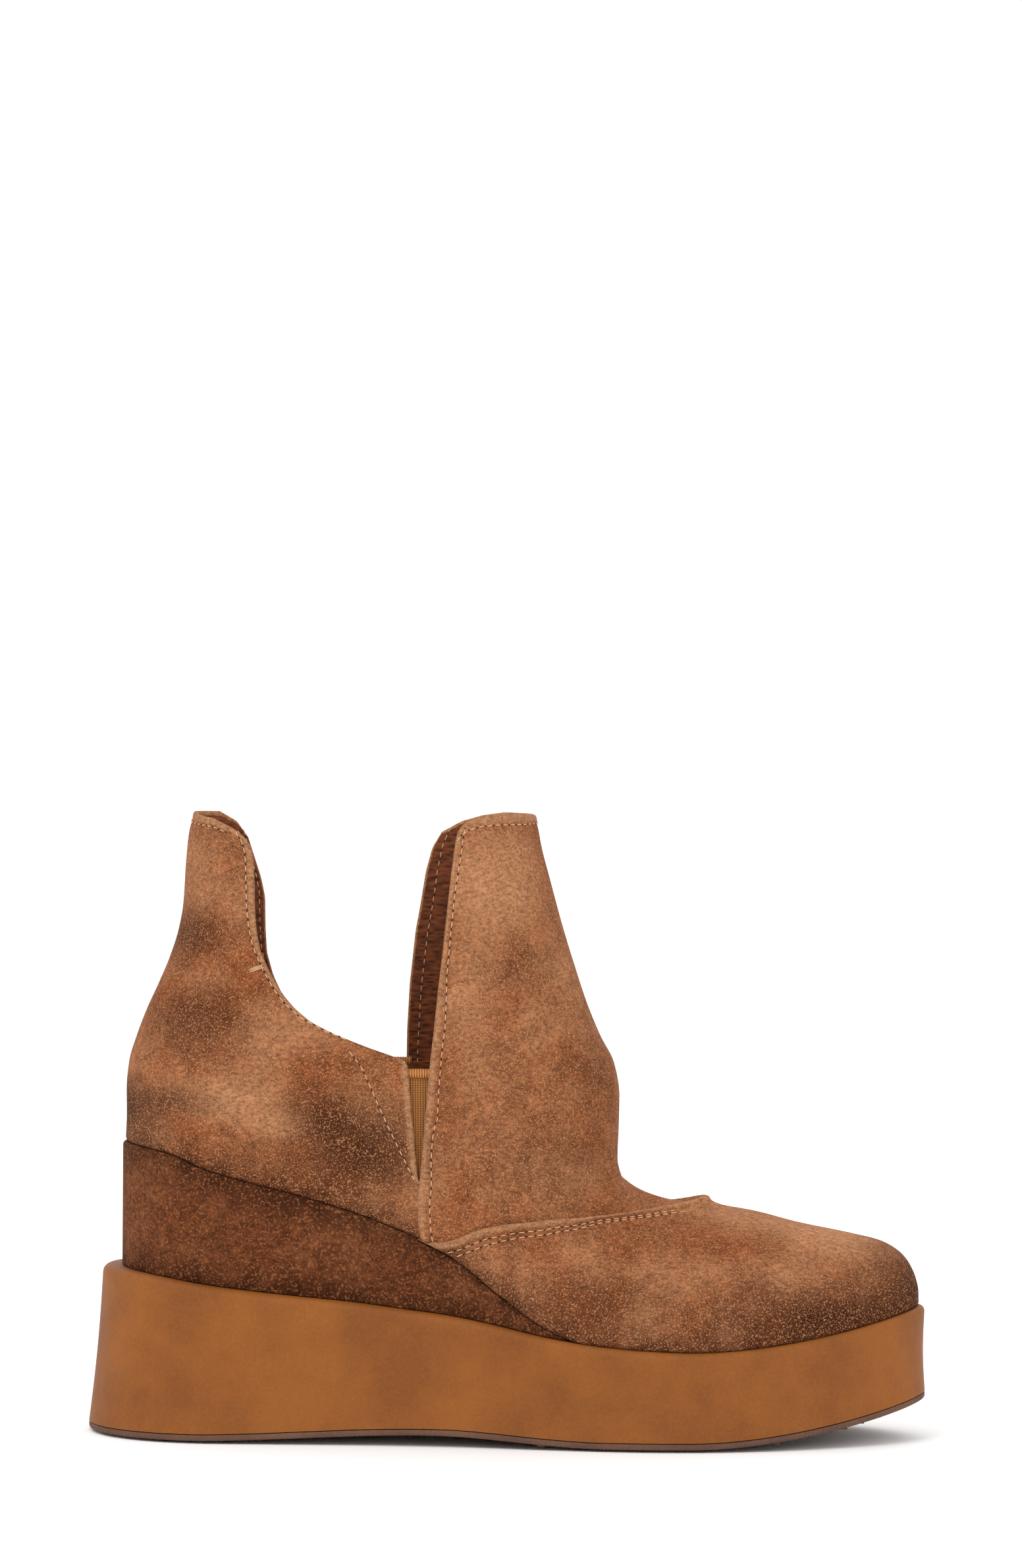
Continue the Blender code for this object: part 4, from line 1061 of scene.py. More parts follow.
def woven_elastic(name, base, dark, rib_mm, thread_mm):
    made, tree, shader, _ = new_material(name, 0.75, 0.3)
    uv = add_node(tree, "ShaderNodeTexCoord").outputs["UV"]
    parts = add_node(tree, "ShaderNodeSeparateXYZ", {0: uv})
    heights = []
    for axis, pitch_mm in (("X", rib_mm), ("Y", thread_mm)):
        turns = add_node(
            tree, "ShaderNodeMath", {0: parts.outputs[axis], 1: math.pi / (pitch_mm * MM)},
            operation="MULTIPLY",
        )
        wave = add_node(tree, "ShaderNodeMath", {0: turns.outputs[0]}, operation="SINE").outputs[0]
        heights.append(add_node(tree, "ShaderNodeMath", {0: wave}, operation="ABSOLUTE").outputs[0])
    block = add_node(tree, "ShaderNodeMath", {0: heights[0], 1: heights[1]}, operation="MINIMUM").outputs[0]
    tone = spread(tree, block, 0.1, 0.65)
    tree.links.new(blended(tree, tone, colour(dark), colour(base)), shader.inputs["Base Color"])
    bump = add_node(tree, "ShaderNodeBump", {"Strength": 0.7, "Distance": 0.3 * MM, "Height": block})
    tree.links.new(bump.outputs["Normal"], shader.inputs["Normal"])
    return made


def plain(name, tone, roughness):
    made, _, shader, _ = new_material(name, roughness, 0.4)
    shader.inputs["Base Color"].default_value = colour(tone)
    return made


tan_foam = grained("moulded foam", "#8f531b", "#6d3b10", 0.9, 0.12, 0.62, 0.25)
brown_rubber = grained("brown rubber", "#6e4d3a", "#4b3226", 0.9, 0.25, 0.8)
RIB_MM = 0.80
CROSS_THREAD_MM = 0.55
elastic_weave = woven_elastic("woven elastic", "#b8783c", "#4a2810", RIB_MM, CROSS_THREAD_MM)
tan_thread = plain("tan thread", "#c99d76", 0.7)
# Dark blobs between the stitches, painted shade of the needle holes.
needle_shade = plain("needle hole", "#3a1f12", 0.95)
print("Materials:", sorted(made.name for made in bpy.data.materials))

# %% [markdown]
# The sole pieces are lofts: closed bodies through rings that follow the last's outline. The
# wedge's suede cover is folded in at the top, the foam has a soft rim, and both get more rings
# than the solid part has, so that their round edges catch the light.

# %% Rings and lofts of the sole
def sole_ring(share_of_flare, inset=0.0):
    """The platform's outline, from its rim, 0, to its foot, 1."""
    ring = feather_ring()
    at = station(ring[:, 0])
    reach = LEDGE * look_up(LEDGES, "rim", at) + FLARE * look_up(LEDGES, "foot", at) * share_of_flare
    return grown(ring, reach - inset)


def lifted(ring, height):
    return np.column_stack((ring, height(ring[:, 0])))


def loft(name, rings, made):
    """A closed body through rings, capped by strips between each ring's two halves."""
    rings = np.asarray(rings, float)
    rows, count = rings.shape[:2]
    number = np.arange(rows * count).reshape(rows, count)
    after = np.roll(number, -1, axis=1)
    faces = np.stack((number[:-1], after[:-1], after[1:], number[1:]), axis=-1).reshape(-1, 4).tolist()
    for base in (0, (rows - 1) * count):
        for point in range(count // 2):
            corners = (point, point + 1, (count - point - 1) % count, (count - point) % count)
            single = [corner for place, corner in enumerate(corners) if corner not in corners[:place]]
            faces.append([base + corner for corner in single])
    mesh = bpy.data.meshes.new(name)
    mesh.from_pydata(rings.reshape(-1, 3).tolist(), [], faces)
    mesh.materials.append(made)
    thing = bpy.data.objects.new(name, mesh)
    bpy.context.scene.collection.objects.link(thing)
    tidy_mesh(thing)
    return thing


def corner_rings(outline, radius, height):
    """Rings round a top edge of this radius, from its side up to its top."""
    turns = np.radians((0, 15, 30, 45, 60, 75, 90))
    rings = []
    for turn in turns:
        inset, drop = radius * (1 - math.cos(turn)), radius * (1 - math.sin(turn))
        rings.append(lifted(grown(outline, -inset), lambda x, d=drop: height(x) - d))
    return rings


print("Points round the sole:", len(sole_ring(1.0)))

# %% [markdown]
# The wedge is highest under the heel and thins to nothing before the ball. The foam under it is
# flared at the heel and slightly hollow at its side. The insole lies inside the upper.

# %% Wedge, platform and insole
WEDGE_ROUND = 1.3 * MM
PLATFORM_WAIST = 0.5 * MM        # the foam's side is hollow by this much between rim and foot
PLATFORM_ROUND = 2.6 * MM
INSOLE_ROUND = 1.2 * MM
SIDE_RINGS = 10


def wedge_end():
    """x of the wedge's front end, where it has thinned to its tip."""
    x = np.linspace(HEEL_X, TOE_X, 2000)
    thick = WEDGE_HEEL * look_up(SOLES, "wedge", station(x)) - CLEARANCE
    return float(x[thick > WEDGE_TIP][-1])


wedge_outline = grown(feather_ring(wedge_end()), WEDGE_PROUD)


def wedge_round(x):
    """The wedge's edge is sharper where the wedge is thin."""
    return np.minimum(WEDGE_ROUND, 0.4 * (seat(x) - platform_top(x)))


wedge_rings = []
for share in np.linspace(0.0, 1.0, SIDE_RINGS):
    wedge_rings.append(lifted(
        wedge_outline,
        lambda x, s=share: (1 - s) * (platform_top(x) + CLEARANCE) + s * (seat(x) - wedge_round(x)),
    ))
for turn in np.radians((20, 40, 60, 80, 90)):
    inset = (1 - math.cos(turn)) * wedge_round(wedge_outline[:, 0])
    wedge_rings.append(lifted(
        grown(wedge_outline, -inset),
        lambda x, t=turn: seat(x) - wedge_round(x) * (1 - math.sin(t)),
    ))
wedge = loft("wedge_cover", wedge_rings, wedge_suede)


FAR_FROM_FOLD = 10.0            # mm, beyond the reach of a folded edge's paler colour


def note_heights(thing, low, high):
    """Keeps each point's distance from the nearer of its foot and its top, and a far folded edge, in mm: the
    suede darkens near both, at the top as painted shadow under the upper.
    """
    mesh = thing.data
    places = np.empty(len(mesh.vertices) * 3)
    mesh.vertices.foreach_get("co", places)
    places = places.reshape(-1, 3)
    above = places[:, 2] - low(places[:, 0])
    below = high(places[:, 0]) - places[:, 2]
    foot = mesh.attributes.new("foot_distance", "FLOAT", "POINT")
    foot.data.foreach_set("value", np.minimum(above, below) / MM)
    edge = mesh.attributes.new("edge_distance", "FLOAT", "POINT")
    edge.data.foreach_set("value", np.full(len(places), FAR_FROM_FOLD))


note_heights(wedge, platform_top, seat)
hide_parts("wedge")
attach(wedge, "root")


def platform_foot(x):
    return floor_line(x) + OUTSOLE_THICKNESS


platform_rings = []
for share in np.linspace(0.0, 1.0, SIDE_RINGS):
    hollow = PLATFORM_WAIST * math.sin(math.pi * share)
    platform_rings.append(lifted(
        sole_ring(1 - share, hollow),
        lambda x, s=share: (1 - s) * platform_foot(x) + s * (platform_top(x) - PLATFORM_ROUND),
    ))
platform_rings += corner_rings(sole_ring(0.0), PLATFORM_ROUND, platform_top)[1:]
platform = loft("foam_platform", platform_rings, tan_foam)
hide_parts("platform")
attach(platform, "root")

insole_outline = grown(feather_ring(), -(WALL + 2 * CLEARANCE + INSOLE_TAPER))
insole_rings = [lifted(insole_outline, lambda x: seat(x) + CLEARANCE)]
insole_rings += corner_rings(insole_outline, INSOLE_ROUND, lambda x: seat(x) + CLEARANCE + INSOLE_THICKNESS)
insole = loft("sock_lining", insole_rings, lining_leather)
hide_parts("insole")
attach(insole, "root")
print("Wedge ends at x =", round(wedge_end(), 4))

# %% [markdown]
# The outsole is a thin sheet of rubber whose cut edge is rough: fine upright ribs from the mould.
# Its underside has short cross bars under the forefoot and the heel for grip.

# %% Outsole
RIB_PITCH = 1.6 * MM
RIB_DEPTH = 0.22 * MM
TREAD_DEPTH = 0.8 * MM


def length_round(ring):
    """Length along a closed ring from its first point to each of its points and back."""
    steps = np.linalg.norm(np.roll(ring, -1, axis=0) - ring, axis=1)
    return np.concatenate(([0.0], np.cumsum(steps)))


RIBS = 2 * round(length_round(sole_ring(1.0))[-1] / RIB_PITCH / 2)
POINTS_PER_RIB = 5


def ribbed(ring, depth):
    """A ring with shallow ribs at an even pitch along it."""
    run = length_round(ring)
    count = RIBS * POINTS_PER_RIB
    closed = np.vstack((ring, ring[:1]))
    at = np.linspace(0.0, run[-1], count, endpoint=False)
    dense = np.column_stack([np.interp(at, run, closed[:, c]) for c in range(2)])
    wave = np.cos(2 * math.pi * np.arange(count) / POINTS_PER_RIB)
    return grown(dense, -depth * (0.5 + 0.5 * wave))


OutsoleRing = namedtuple("OutsoleRing", "inset height depth")
OUTSOLE_RINGS = (                # inset in mm, height as a share of the thickness, depth of RIB_DEPTH
    OutsoleRing(1.00, 0.26, 0.4),
    OutsoleRing(0.25, 0.34, 1.0),
    OutsoleRing(0.00, 0.50, 1.0),
    OutsoleRing(0.00, 0.80, 1.0),
    OutsoleRing(0.15, 0.90, 0.6),
)
outsole_rings = []
for row in OUTSOLE_RINGS:
    outline = ribbed(sole_ring(1.0, row.inset * MM), row.depth * RIB_DEPTH)
    outsole_rings.append(lifted(outline, lambda x, s=row.height: floor_line(x) + s * OUTSOLE_THICKNESS))
outsole = loft("rubber_outsole", outsole_rings, brown_rubber)
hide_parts("outsole")
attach(outsole, "root")
print("Outsole:", len(outsole.data.polygons), "faces")

# %% [markdown]
# The quarter is one piece of suede that wraps the heel from the front panel on one side to that on
# the other. It rises behind as the heel tab, and its upper edge is folded and stitched.

# %% Quarter and heel tab
TAB_CORNER = 3                  # row of the table where the tab's top turns into its front edge
TIP_GAP = 0.002                 # half of the notch's breadth at its tip, as a share of the collar
QUARTER_GRID = (84, 110)        # rows and columns of each half
UNDER_PANEL = ((0.800, -0.360), (0.800, -0.200), (0.772, -0.125))


def quarter_half(side):
    tip = (side.tip[0] - TIP_GAP, side.tip[1])
    forward = side.tip[0] - LATERAL.tip[0]
    under = [(across + forward, up) for across, up in UNDER_PANEL]
    edge = evened(unrolled(under + [tip] + list(side.tab_and_floor[: TAB_CORNER - 1 : -1]), side))
    head_line = unrolled(side.tab_and_floor[1 : TAB_CORNER + 1], side)
    head = evened(np.concatenate(([(0.0, 1.0)], head_line)))
    foot = evened(np.array(((0.0, 0.0), (edge[0, 0], 0.0))))
    edge[0, 1] = 0.0
    centre = evened(np.array(((0.0, 0.0), (0.0, 1.0))))
    return half_panel(centre, edge, foot, head, *QUARTER_GRID)


def distances(grid):
    """Distance to the free edge at each side, to the head and to the foot of a joined panel."""
    places = around_upper(grid[..., 1], grid[..., 0])
    sides = np.minimum(run_from(places, 1, False), run_from(places, 1, True))
    return sides, run_from(places, 0, True), run_from(places, 0, False)


quarter_grid = both_halves([quarter_half(side) for side in (LATERAL, MEDIAL)])
to_sides, to_head, to_foot = distances(quarter_grid)
to_edge = np.minimum(to_sides, to_head)
quarter_relief = -SEAM_DEPTH * trough(to_edge, STITCH_INSET)
SUEDE_AND_LINING = [burnished_and_lit_suede, lining_leather]
quarter = panel("quarter", quarter_grid, 0.0, to_edge, to_foot, SUEDE_AND_LINING, quarter_relief)
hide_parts("upper")
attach(quarter, "root")
print("Quarter:", len(quarter.data.polygons), "faces")

# %% [markdown]
# The front panel is the tall tongue of suede over the instep. Its rear edges are folded, run up
# beside the elastic, and lie on the quarter below it.

# %% Front panel
SHAFT_CORNER = 8                # row of the table where the shaft's rear edge turns into its top
LAP_CREST = 0.275               # where the vamp's edge crosses the instep, in VAMP_LENGTHs from the throat
UNDER_VAMP = 0.055              # how far the front panel goes on below the vamp's edge, in levels
FRONT_GRID = (110, 70)          # rows and columns of each half
FRONT_INSET = STITCH_INSET + 1.0 * MM
FRONT_EXTRA = 0.15 * MM         # the front panel's lining lies this much inside the quarter's


def lap_line(side):
    """The vamp's edge, from the feather line to the middle of the instep."""
    line = unrolled([place for place in LAP_LINE if 0.73 < place[0] < 1.33], side, 2 * LAP)
    ridge_levels = np.linspace(THROAT_ROW / (len(LOOPS) - 1), 0.0, RIDGE_POINTS)
    level = np.interp(THROAT_X + LAP_CREST * VAMP_LENGTH, RIDGE_X[::-1], ridge_levels)
    line[0, 1] = 0.0
    return np.concatenate((line, [(-side.sign * math.pi, level)]))


def front_half(side):
    rear = list(side.panel_rear[:0:-1]) + [(side.tip[0] + TIP_GAP, side.tip[1])]
    edge = evened(unrolled(rear + list(side.shaft_rear[: SHAFT_CORNER + 1]), side, LAP))
    edge[0, 1] = 0.0
    turned = [place for place in side.shaft_rear[SHAFT_CORNER:] if place[0] < 0.95]
    head_line = unrolled(turned[::-1], side, LAP)
    middle_angle = -side.sign * math.pi
    head = evened(np.concatenate(([(middle_angle, 1.0)], head_line)))
    lap = lap_line(side)[::-1]
    below = lap - (0.0, UNDER_VAMP)
    foot_line = [point for point in below if abs(point[0]) > abs(edge[0, 0]) + 0.12 and point[1] > 0.0]
    foot = evened(np.concatenate((foot_line, [edge[0]])))
    centre = evened(np.array(((middle_angle, foot[0, 1]), (middle_angle, 1.0))))
    return half_panel(centre, edge, foot, head, *FRONT_GRID)


front_halves = [front_half(side) for side in (LATERAL, MEDIAL)]
front_halves[1][..., 0] += 2 * math.pi
front_grid = np.concatenate((front_halves[0][:, ::-1], front_halves[1][:, 1:]), axis=1)
to_sides, to_head, to_foot = distances(front_grid)
to_edge = np.minimum(to_sides, to_head)
front_relief = -SEAM_DEPTH * trough(to_edge, FRONT_INSET)
front_panel = panel(
    "front_panel", front_grid, LAP, to_edge, FAR_OFF + to_foot, SUEDE_AND_LINING,
    front_relief, inner=-WALL - FRONT_EXTRA,
)
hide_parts("upper")
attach(front_panel, "root")
print("Front panel:", len(front_panel.data.polygons), "faces")

# %% [markdown]
# The vamp covers the toes. Its edge is folded, laps over the front panel, and is held by two rows
# of stitches. At the middle of the instep the folded edge stands up a little as a lip.

# %% Vamp
VAMP_COLUMNS = 300
VAMP_ROWS = 60
VAMP_BEAD = 0.9 * MM            # the folded edge is thicker than the single suede behind it
VAMP_ROUND = 1.0 * MM
DOUBLE_ROW = (3.6 * MM, 5.4 * MM)

lap_lines = [lap_line(side) for side in (LATERAL, MEDIAL)]
lap_lines[1][:, 0] += 2 * math.pi
lap_round = np.concatenate((lap_lines[0], lap_lines[1][-2::-1]))
vamp_angles = evened(np.array(((lap_round[0, 0], 0.10), (lap_round[-1, 0], 0.10))), VAMP_COLUMNS)[:, 0]
lap_level = np.maximum(follow(lap_round[:, 0], lap_round[:, 1], vamp_angles), 0.004)
upwards = np.linspace(0.0, 1.0, 30)[:, None]
whole = around_upper(lap_level[None, :] * upwards, vamp_angles[None, :] * np.ones_like(upwards))
height = run_from(whole, 0, False)[-1]
close = EDGE_STEPS[:, None] * np.minimum(1.0, height / (3 * EDGE_STEPS[-1]))[None, :] / height[None, :]
between = close[-1] + (1 - 2 * close[-1]) * np.linspace(0.0, 1.0, VAMP_ROWS)[1:-1, None]
shares = np.concatenate((close, between, 1 - close[::-1]))
vamp_grid = np.stack((vamp_angles[None, :] * np.ones_like(shares), lap_level[None, :] * shares), axis=-1)
places = around_upper(vamp_grid[..., 1], vamp_grid[..., 0])
to_edge = run_from(places, 0, True)
to_foot = run_from(places, 0, False)
fold = 1 - ease(2.0 * MM, 3.4 * MM, to_edge)
vamp_relief = VAMP_BEAD * fold + LIP_RISE * lip(places) * (1 - ease(0.0, 9 * MM, to_edge))
for row in DOUBLE_ROW:
    vamp_relief = vamp_relief - SEAM_DEPTH * trough(to_edge, row)
vamp_inner = -WALL * ease(7 * MM, 11 * MM, to_edge)
vamp = panel(
    "vamp", vamp_grid, 2 * LAP, to_edge, to_foot, SUEDE_AND_LINING, vamp_relief,
    inner=vamp_inner, radius=VAMP_ROUND,
)
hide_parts("upper")
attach(vamp, "root")
print("Vamp:", len(vamp.data.polygons), "faces")

# %% [markdown]
# A gore of woven elastic fills each notch, so that the foot can slip in. It is sewn behind the
# suede on both sides, and its top is folded over a cord, which shows as a small roll. Its UV map
# is in real lengths, across the ribs and along them, for the weave to follow.

# %% Elastic gores
GORE_ROWS, GORE_COLUMNS = 60, 40
GORE_DROP = 0.8 * MM             # the elastic ends this much below the front panel's first row
GORE_GAP = 0.35 * MM             # between the elastic and the wall of the upper
ROLL_RADIUS = 1.5 * MM
ROLL_OVERLAP = 2.0 * MM          # of the roll behind the suede at each end
ROLL_SPOKES = 16


def gore_grid(side):
    tip_x, tip_z = pattern_point(side.tip)
    rear_x = pattern_point(side.tab_and_floor[-1])[0]
    front_x, front_z = pattern_point(side.shaft_rear[0])
    up = np.linspace(0.0, 1.0, GORE_ROWS)[:, None]
    across = np.linspace(0.0, 1.0, GORE_COLUMNS)[None, :]
    low_z = tip_z - GORE_MARGIN / 2
    z = low_z + (front_z - GORE_DROP - low_z) * up + 0.0 * across
    left = (tip_x - GORE_MARGIN / 2) * (1 - up) + (rear_x - GORE_MARGIN) * up
    right = (tip_x + GORE_MARGIN / 2) * (1 - up) + (front_x + GORE_MARGIN) * up
    x = left + (right - left) * across
    level, share = level_and_share(x, z)
    return level, -side.sign * np.arccos(1 - 2 * share), x, z


def add_uv(thing, function):
    """A UV map whose values come from each corner's position."""
    mesh = thing.data
    layer = mesh.uv_layers.new(name="weave")
    places = np.empty(len(mesh.vertices) * 3)
    mesh.vertices.foreach_get("co", places)
    corners = np.empty(len(mesh.loops), dtype=np.int32)
    mesh.loops.foreach_get("vertex_index", corners)
    layer.data.foreach_set("uv", function(places.reshape(-1, 3)[corners]).reshape(-1))


def make_gore(side):
    level, angle, x, z = gore_grid(side)
    rear_x, front_x = pattern_point(side.tab_and_floor[-1])[0], pattern_point(side.shaft_rear[0])[0]
    depth = WALL + GORE_GAP
    outer = around_upper(level, angle, -depth)
    inner = around_upper(level, angle, -depth - GORE_THICKNESS)
    no_fold = np.full(level.shape, 9.0 * MM)
    # The elastic's inner faces take the darker lining leather, painted shade for the inside of the boot.
    gore = shell("elastic_" + side.name, outer, inner, no_fold, [elastic_weave, lining_leather])
    lean = (x[-1].mean() - x[0].mean()) / (z[-1, 0] - z[0, 0])
    add_uv(gore, lambda p: np.column_stack((p[:, 0] - lean * (p[:, 2] - z[0, 0]), p[:, 2])))
    shown = (x[-1] > rear_x - ROLL_OVERLAP) & (x[-1] < front_x + ROLL_OVERLAP)
    top_level, top_angle = level[-1, shown], angle[-1, shown]
    ring_centres = around_upper(top_level, top_angle, -depth - 0.1 * MM)
    turns = np.linspace(0, 2 * math.pi, ROLL_SPOKES, endpoint=False)
    outward = around_upper(top_level, top_angle, 0.0) - around_upper(top_level, top_angle, -1 * MM)
    outward /= np.linalg.norm(outward, axis=1)[:, None]
    up = np.array((0.0, 0.0, 1.0))
    tube = ring_centres[None] + ROLL_RADIUS * (
        np.cos(turns)[:, None, None] * outward[None] + np.sin(turns)[:, None, None] * up
    )
    roll = loft("elastic_roll_" + side.name, np.swapaxes(tube, 0, 1), elastic_weave)
    add_uv(roll, lambda p: np.column_stack((p[:, 0], 0.25 * CROSS_THREAD_MM * MM + 0.0 * p[:, 2])))
    for piece in (gore, roll):
        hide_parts("gore_" + side.name)
        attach(piece, "root")
    return gore


for side in (LATERAL, MEDIAL):
    print(make_gore(side).name, "made")

# %% [markdown]
# Seams are long rows of one small shape, which is what Geometry Nodes are for. A row of points
# carries the direction of the seam and of the surface. On each point the tree puts a stitch of
# thread and, between two stitches, a dark blob that is painted shade of a needle hole. A little
# random length keeps it handmade.

# %% Node tree for seams
STITCH_PITCH = 2.9 * MM
STITCH_LENGTH = 2.0 * MM
THREAD_THICKNESS = 0.36 * MM
HOLE_LENGTH = 0.8 * MM


def instancer(name, shape, **sizes):
    """A tree that puts one small shape, stretched to a given size, on each point it is given."""
    tree = bpy.data.node_groups.new(name, "GeometryNodeTree")
    sockets = {}
    for label, kind in (("Geometry", "NodeSocketGeometry"), ("Length", "NodeSocketFloat"),
                        ("Breadth", "NodeSocketFloat"), ("Height", "NodeSocketFloat"),
                        ("Variation", "NodeSocketFloat"), ("Seed", "NodeSocketInt"),
                        ("Material", "NodeSocketMaterial")):
        sockets[label] = tree.interface.new_socket(label, in_out="INPUT", socket_type=kind).identifier
    tree.interface.new_socket("Geometry", in_out="OUTPUT", socket_type="NodeSocketGeometry")
    given = add_node(tree, "NodeGroupInput").outputs
    single = add_node(tree, shape, sizes)
    along_seam, out_of_surface = (
        add_node(tree, "GeometryNodeInputNamedAttribute", {"Name": kept}, data_type="FLOAT_VECTOR")
        for kept in ("along", "outward")
    )
    turn = add_node(
        tree, "FunctionNodeAxesToRotation",
        {"Primary Axis": along_seam.outputs[0], "Secondary Axis": out_of_surface.outputs[0]},
        primary_axis="X", secondary_axis="Z",
    )
    least = add_node(tree, "ShaderNodeMath", {0: 1.0, 1: given["Variation"]}, operation="SUBTRACT")
    most = add_node(tree, "ShaderNodeMath", {0: 1.0, 1: given["Variation"]}, operation="ADD")
    chance = add_node(
        tree, "FunctionNodeRandomValue",
        {2: least.outputs[0], 3: most.outputs[0], "Seed": given["Seed"]}, data_type="FLOAT",
    )
    long = add_node(
        tree, "ShaderNodeMath", {0: given["Length"], 1: chance.outputs[1]}, operation="MULTIPLY",
    )
    size = add_node(
        tree, "ShaderNodeCombineXYZ", {"X": long.outputs[0], "Y": given["Breadth"], "Z": given["Height"]},
    )
    placed = add_node(
        tree, "GeometryNodeInstanceOnPoints",
        {"Points": given["Geometry"], "Instance": single.outputs["Mesh"], "Rotation": turn.outputs[0],
         "Scale": size.outputs[0]},
    )
    real = add_node(tree, "GeometryNodeRealizeInstances", {"Geometry": placed.outputs[0]})
    smooth = add_node(tree, "GeometryNodeSetShadeSmooth", {"Geometry": real.outputs[0]})
    dressed = add_node(
        tree, "GeometryNodeSetMaterial", {"Geometry": smooth.outputs[0], "Material": given["Material"]},
    )
    add_node(tree, "NodeGroupOutput", {"Geometry": dressed.outputs[0]})
    return tree, sockets


seam_tree, seam_sockets = instancer("seam", "GeometryNodeMeshUVSphere", Segments=8, Rings=6, Radius=0.5)
print("Inputs of the seam tree:", list(seam_sockets))

# %% [markdown]
# A seam is given as a line on the upper and a distance out of its surface. Each panel's own grid
# tells where a line at an even distance from its folded edge runs.

# %% Seams from their lines
SEED = 4
HOLE_SINK = 0.03 * MM
HOLE_BREADTH = 0.55 * MM


def seam_points(line, offset, pitch, start=0.5):
    """Points, directions and normals at an even pitch along a line of angles and levels."""
    fine = along(line, np.linspace(0.0, 1.0, 1200))
    places = around_upper(fine[:, 1], fine[:, 0], offset)
    outward = places - around_upper(fine[:, 1], fine[:, 0], offset - 1 * MM)
    run = np.concatenate(([0.0], np.cumsum(np.linalg.norm(np.diff(places, axis=0), axis=1))))
    at = np.arange(start * pitch, run[-1], pitch)
    here, out = (
        np.stack([np.interp(at, run, grid[:, c]) for c in range(3)], axis=-1) for grid in (places, outward)
    )
    direction = np.gradient(here, axis=0)
    return here, direction / np.linalg.norm(direction, axis=1)[:, None], out / MM


def grown_row(name, points, length, breadth, height, made, variation, maker=None):
    """One row of stitches, holes or bars, made by a tree and kept as a plain mesh."""
    tree, sockets = maker or (seam_tree, seam_sockets)
    mesh = bpy.data.meshes.new(name + "_points")
    mesh.from_pydata(points[0].tolist(), [], [])
    for label, vectors in (("along", points[1]), ("outward", points[2])):
        mesh.attributes.new(label, "FLOAT_VECTOR", "POINT").data.foreach_set("vector", vectors.reshape(-1))
    holder = bpy.data.objects.new(name + "_points", mesh)
    bpy.context.scene.collection.objects.link(holder)
    modifier = holder.modifiers.new("seam", "NODES")
    modifier.node_group = tree
    values = {"Length": length, "Breadth": breadth, "Height": height, "Variation": variation,
              "Seed": SEED, "Material": made}
    for label, value in values.items():
        modifier[sockets[label]] = value
    bpy.context.view_layer.update()
    result = bpy.data.meshes.new_from_object(holder.evaluated_get(bpy.context.evaluated_depsgraph_get()))
    bpy.data.objects.remove(holder)
    row = bpy.data.objects.new(name, result)
    bpy.context.scene.collection.objects.link(row)
    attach(row, "root")
    return row


def seam(name, line, offset, inside=False, start=0.5):
    """Stitches with a dark blob between each two, painted shade of a needle hole. On the lining's side they
    lie on the inner wall.
    """
    stitches = seam_points(line, offset, STITCH_PITCH, start)
    sink = HOLE_SINK if inside else -HOLE_SINK
    hole_shades = seam_points(line, offset + sink, STITCH_PITCH, start + 0.5)
    grown_row(name, stitches, STITCH_LENGTH, THREAD_THICKNESS, THREAD_THICKNESS, tan_thread, 0.12)
    grown_row(name + "_holes", hole_shades, HOLE_LENGTH, HOLE_BREADTH, HOLE_BREADTH / 2, needle_shade, 0.2)


def inset_line(grid, distance, wanted):
    """A line of angles and levels at a wanted distance from the edge, one point for each row."""
    found = []
    for index in range(grid.shape[0]):
        row, gaps = grid[index], distance[index]
        order = np.argsort(gaps)
        if gaps[order[-1]] < wanted:
            continue
        found.append([np.interp(wanted, gaps[order], row[order, c]) for c in range(2)])
    return np.array(found)


def half_of(grid, measure, side_first):
    """The part of a joined grid between its centre line and one edge."""
    centre = grid.shape[1] // 2
    kept = slice(None, centre + 1) if side_first else slice(centre, None)
    return grid[:, kept], measure[:, kept]


print("A stitch each", round(STITCH_PITCH / MM, 1), "mm")

# %% [markdown]
# The rows of this boot: along the opening and round the tab, down both sides of the front panel
# and over its top, two along the vamp's edge, and one slanted row that holds each gore. A bar
# of thread strengthens the opening under the tab.

# %% Rows of stitches
SLANTED_SEAM = (                 # shares of the collar, like the pattern
    (0.565, 0.298), (0.598, 0.246), (0.630, 0.160), (0.668, 0.060), (0.705, -0.030), (0.728, -0.085),
)
BAR_TACK = ((0.3365, 0.5435), (0.3395, 0.5330))
TACK_LENGTH = 5.6 * MM
TACK_PITCH = 0.42 * MM
LOWEST_LEVEL = 0.40              # the opening's seam ends above this level
HIGHEST_LEVEL = 0.985            # and the front panel's below this one
LEAST_REACH = 0.1                # of the tab's top row, an angle to each side of the back
THREAD_DEPTH = SEAM_DEPTH - 0.18 * MM
quarter_sides, quarter_head = distances(quarter_grid)[:2]
for side, side_first in ((LATERAL, False), (MEDIAL, True)):
    piece, gaps = half_of(quarter_grid, quarter_sides, side_first)
    line = inset_line(piece, gaps, STITCH_INSET)
    line = line[line[:, 1] > LOWEST_LEVEL]
    last_x = pattern_point((SLANTED_SEAM[0][0] + side.tip[0] - LATERAL.tip[0], 0.0))[0]
    line = line[around_upper(line[:, 1], line[:, 0])[:, 0] < last_x]
    seam("quarter_seam_" + side.name, line, -THREAD_DEPTH)
    seam("quarter_lining_seam_" + side.name, line, -WALL - 0.02 * MM, inside=True)
tab_line = inset_line(np.swapaxes(quarter_grid, 0, 1), quarter_head.T, STITCH_INSET)
reach = max(abs(unrolled([LATERAL.tab_and_floor[2]], LATERAL)[0, 0]), LEAST_REACH)
tab_line = tab_line[np.abs(tab_line[:, 0]) < reach]
seam("tab_seam", tab_line, -THREAD_DEPTH)
front_sides, front_head = distances(front_grid)[:2]
